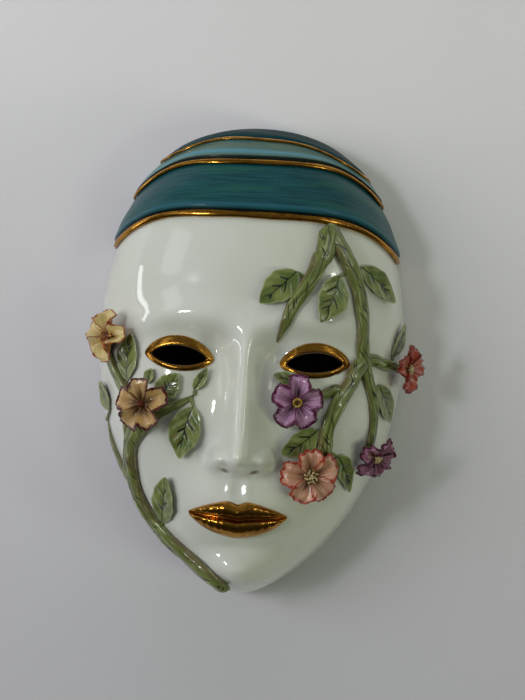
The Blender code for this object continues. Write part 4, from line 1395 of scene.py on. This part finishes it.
# What each kind of centre is built by, and its beads: dark, middle and light, and how metallic the light is.
CENTRES = {
    "ring": (build_ring, "gold_grains", tone(60, 40, 14), tone(150, 112, 40), tone(222, 190, 96), 0.7),
    "pistil": (build_pistil, "maroon_grains", tone(84, 24, 26), tone(128, 60, 40), tone(190, 150, 110), 0.0),
    "stamens": (build_stamens, "rust_grains", tone(104, 42, 22), tone(160, 92, 40), tone(214, 170, 92), 0.0),
    "grains": (build_grains, "mixed_grains", tone(46, 34, 14), tone(150, 122, 66), tone(224, 204, 156), 0.3),
}


def build_flowers():
    calyx = calyx_material()
    beads = {kind: grain_material(*shades) for kind, (_, *shades) in CENTRES.items()}
    for name, form in PETAL_FORMS.items():
        flower = read_flower(name)
        build_petals(flower, form, petal_material(name))
        build_calyx(flower, calyx)
        centre = CENTRES[form.centre][0](flower, beads[form.centre])
        replace(centre, name + "_centre")


# ---------------------------------------------------------------- the hanger

def hanger_wire(material):
    """A smooth round wire: pins in the lugs and an arch between them, about the joint's axis."""
    pivot = np.array(frame["joints"][0]["pos_m"]) / MM
    points, _ = node_mesh("hanger_wire")
    pin_end = float(points[:, 0].max())
    offset = (points - pivot)[:, 1:]
    reach = np.linalg.norm(offset, axis=1)
    radius = float(reach[np.abs(points[:, 0]) > pin_end - 1.0].max())
    height = float(reach.max()) - radius
    direction = unit(offset[reach.argsort()[-8:]].mean(axis=0))
    arch_half = float(np.abs(points[reach > 0.35 * height, 0]).max()) - radius + 0.4
    sweep = np.linspace(0.0, math.pi, 120)
    bend_x = arch_half + 2.5
    x = np.concatenate([[pin_end, bend_x], arch_half * np.cos(sweep), [-bend_x, -pin_end]])
    up = np.concatenate([[0.0, 0.0], 1.5 + (height - 1.5) * np.sin(sweep), [0.0, 0.0]])
    line = joined(x, pivot[1] + direction[0] * up, pivot[2] + direction[1] * up)
    line = soften(resample(line, 0.8), 3)
    theta = round_ring(20)
    out = np.array([0.0, -direction[1], direction[0]])
    side = unit(np.cross(heading(line), out))[:, None]
    rings = line[:, None] + radius * (side * np.cos(theta) + out * np.sin(theta))
    return replace(tube("hanger_wire_brass", rings, material, body="hanger"), "hanger_wire")


def hanger_lugs(material):
    """The pierced clay blocks keep their CAD shape, with softened edges."""
    for name in ("left_hanger_lug", "right_hanger_lug"):
        lug = frame["nodes"][name]
        lug.data.materials.clear()
        lug.data.materials.append(material)
        weld = lug.modifiers.new("weld", "WELD")
        weld.merge_threshold = 0.01 * MM
        bevel = lug.modifiers.new("soft edges", "BEVEL")
        bevel.width = 0.5 * MM
        bevel.segments = 3
        bevel.limit_method = "ANGLE"
        bevel.angle_limit = math.radians(40.0)


# ---------------------------------------------------------------- the wall, the lights and the camera

CAMERA_DISTANCE = 600.0
CAMERA_YAW_DEG = 1.6
CAMERA_ROLL_DEG = 3.3
FRAME_TALL = 349.0
SENSOR_WIDE = 36.0
LOOK_AT = (5.4, 0.0, 117.0)
LIT_POINT = (0.0, -0.03, 0.11)
WALL_GAP = 1.5
WALL_HALF = 1.6
# The painted shade behind the mask: its ellipse's size as shares of the mask's width and height.
HOLLOW_WIDE_SHARE = 0.78
HOLLOW_TALL_SHARE = 0.84
ROOM_SHEEN = 0.45


def wall_material():
    """Matt paint that shows only from the front, lighter towards the top as painted light, and near black
    behind the hollow of the mask as painted shade.
    """
    finish = Finish("wall_paint")
    where = finish.place()
    height = finish.part(where, "Z")
    # Painted light: lighter towards the top, darker towards the bottom.
    finish.base(finish.span(height, -80.0, 320.0), tone(194, 191, 200), tone(236, 233, 238))
    finish.over(finish.noise(where, 0.012) * 0.25, tone(198, 197, 202))
    finish.done(0.9, finish.bump(finish.noise(where, 0.8, 4.0), 0.10))
    # Painted shade: near black inside an ellipse behind the mask's hollow, seen through the eye openings.
    middle_z = 0.5 * (OUTER.top + OUTER.chin)
    across = finish.part(where, "X") / (HOLLOW_WIDE_SHARE * OUTER.half_width)
    up = (height - middle_z) / (HOLLOW_TALL_SHARE * (OUTER.top - middle_z))
    hollow = (across * across + up * up).below(1.0)
    unseen = 1.0 - finish.node("ShaderNodeLightPath", "Is Camera Ray")
    behind = finish.node("ShaderNodeNewGeometry", "Backfacing")
    paint = Flow(finish.tree, finish.shader.outputs["BSDF"])
    dark = finish.node("ShaderNodeBsdfDiffuse", "BSDF", {"Color": tone(14, 14, 13)})
    clear = finish.node("ShaderNodeBsdfTransparent", "BSDF")
    painted = finish.node("ShaderNodeMixShader", "Shader", {0: hollow, 1: paint, 2: dark})
    shown = {0: behind.larger(hollow * unseen), 1: painted, 2: clear}
    surface = finish.tree.nodes["Material Output"].inputs["Surface"]
    feed(finish.tree, surface, finish.node("ShaderNodeMixShader", "Shader", shown))
    return finish.material


def build_wall():
    mesh = bpy.data.meshes.new("wall")
    corners = [(WALL_HALF * x, 0.0, WALL_HALF * z) for x, z in ((-1, -1), (1, -1), (1, 1), (-1, 1))]
    mesh.from_pydata(corners, [], [(0, 1, 2, 3)])
    mesh.materials.append(wall_material())
    wall = bpy.data.objects.new("wall", mesh)
    wall.location = (0.0, WALL_GAP * MM, 0.0)
    bpy.context.scene.collection.objects.link(wall)


def add_panel(name, place, wide, tall, power, colour, glossy=True, diffuse=True):
    """A rectangular light that faces the mask, and can be left out of reflections or show in them only."""
    light = bpy.data.lights.new(name, "AREA")
    light.shape = "RECTANGLE"
    light.size = wide
    light.size_y = tall
    light.energy = power
    light.color = colour
    obj = bpy.data.objects.new(name, light)
    obj.location = place
    obj.rotation_euler = (Vector(LIT_POINT) - Vector(place)).to_track_quat("-Z", "Y").to_euler()
    obj.visible_glossy = glossy
    obj.visible_diffuse = diffuse
    bpy.context.scene.collection.objects.link(obj)


COOL = (0.98, 0.99, 1.0)


def build_lights():
    """Broad lights from the left, from above and low on the right, where they are greener, then panels that
    show only as reflections, and a window whose panes show in the glaze."""
    add_panel("left_wall", (-1.45, -1.00, 0.22), 1.1, 1.1, 11.6, COOL, glossy=False)
    add_panel("right_garden", (0.90, -1.10, -0.30), 0.35, 0.35, 1.9, (0.88, 1.0, 0.62), glossy=False)
    add_panel("right_low", (1.70, -0.85, -0.45), 0.40, 0.40, 5.2, (0.90, 1.0, 0.72), glossy=False)
    add_panel("ceiling", (0.0, -0.7, 1.7), 1.4, 0.8, 5.0, (1.0, 1.0, 0.98), glossy=False)
    add_panel("doorway", (-1.5, -0.12, 0.10), 0.12, 0.80, 1.6, COOL, diffuse=False)
    add_panel("pale_door", (-1.0, -0.75, 0.70), 0.40, 0.50, 0.6, COOL, diffuse=False)
    add_panel("pale_curtain", (0.95, -0.85, 0.75), 0.30, 0.40, 0.7, (0.98, 1.0, 0.94), diffuse=False)
    add_panel("far_window", (1.15, -1.0, 0.55), 0.10, 0.18, 0.8, (0.96, 1.0, 0.92), diffuse=False)
    for column in range(2):
        for row in range(2):
            place = (-0.86 + 0.11 * column, -1.12, 0.20 + 0.13 * row)
            add_panel(f"window_pane_{column}_{row}", place, 0.09, 0.11, 0.9, (0.97, 0.99, 1.0))


def build_room():
    """Dim surroundings: paler overhead and behind, and dimmer still where they show as reflections."""
    world = bpy.data.worlds.new("room")
    bpy.context.scene.world = world
    nodes = Nodes(world)
    where = nodes.node("ShaderNodeTexCoord", "Generated")
    height = nodes.span(nodes.part(where, "Z"), -0.8, 0.9, 0.05, 0.32)
    behind = nodes.span(nodes.part(where, "Y"), -0.1, 0.4, 0.0, 0.45, kind="LINEAR")
    seen = nodes.node("ShaderNodeLightPath", "Is Glossy Ray") * (ROOM_SHEEN - 1.0) + 1.0
    background = nodes.tree.nodes["Background"].inputs
    feed(nodes.tree, background["Strength"], (height + behind) * seen)
    background["Color"].default_value = (0.95, 1.0, 0.93, 1.0)


def build_camera():
    """In front of the mask and level with it, a little to its right, rolled as the mask hangs a little
    askew."""
    yaw = math.radians(CAMERA_YAW_DEG)
    roll = math.radians(CAMERA_ROLL_DEG)
    back = Vector((math.sin(yaw), -math.cos(yaw), 0.0))
    right = (-back).cross(Vector((0.0, 0.0, 1.0)))
    up = right.cross(-back)
    tilted_right = right * math.cos(roll) + up * math.sin(roll)
    tilted_up = up * math.cos(roll) - right * math.sin(roll)
    data = bpy.data.cameras.new("camera")
    data.sensor_width = SENSOR_WIDE
    data.lens = SENSOR_WIDE * CAMERA_DISTANCE / FRAME_TALL
    data.clip_start = 0.01
    camera = bpy.data.objects.new("camera", data)
    turn = Matrix((tilted_right, tilted_up, back)).transposed().to_4x4()
    camera.matrix_world = Matrix.Translation((Vector(LOOK_AT) + back * CAMERA_DISTANCE) * MM) @ turn
    bpy.context.scene.collection.objects.link(camera)
    bpy.context.scene.camera = camera
    bpy.context.scene.view_settings.view_transform = "Standard"


# ---------------------------------------------------------------- the mask

def build():
    gold = gold_material()
    face_shell(porcelain_material())
    eye_rim("left_eye_rim", -1, gold)
    eye_rim("right_eye_rim", 1, gold)
    gilded_lips(gold)
    headwrap(gold)
    stems = read_stems()
    build_stems(stems)
    build_leaves(stems)
    build_flowers()
    hanger_lugs(bisque_material())
    hanger_wire(brass_material())


build()
build_wall()
build_lights()
build_room()
build_camera()
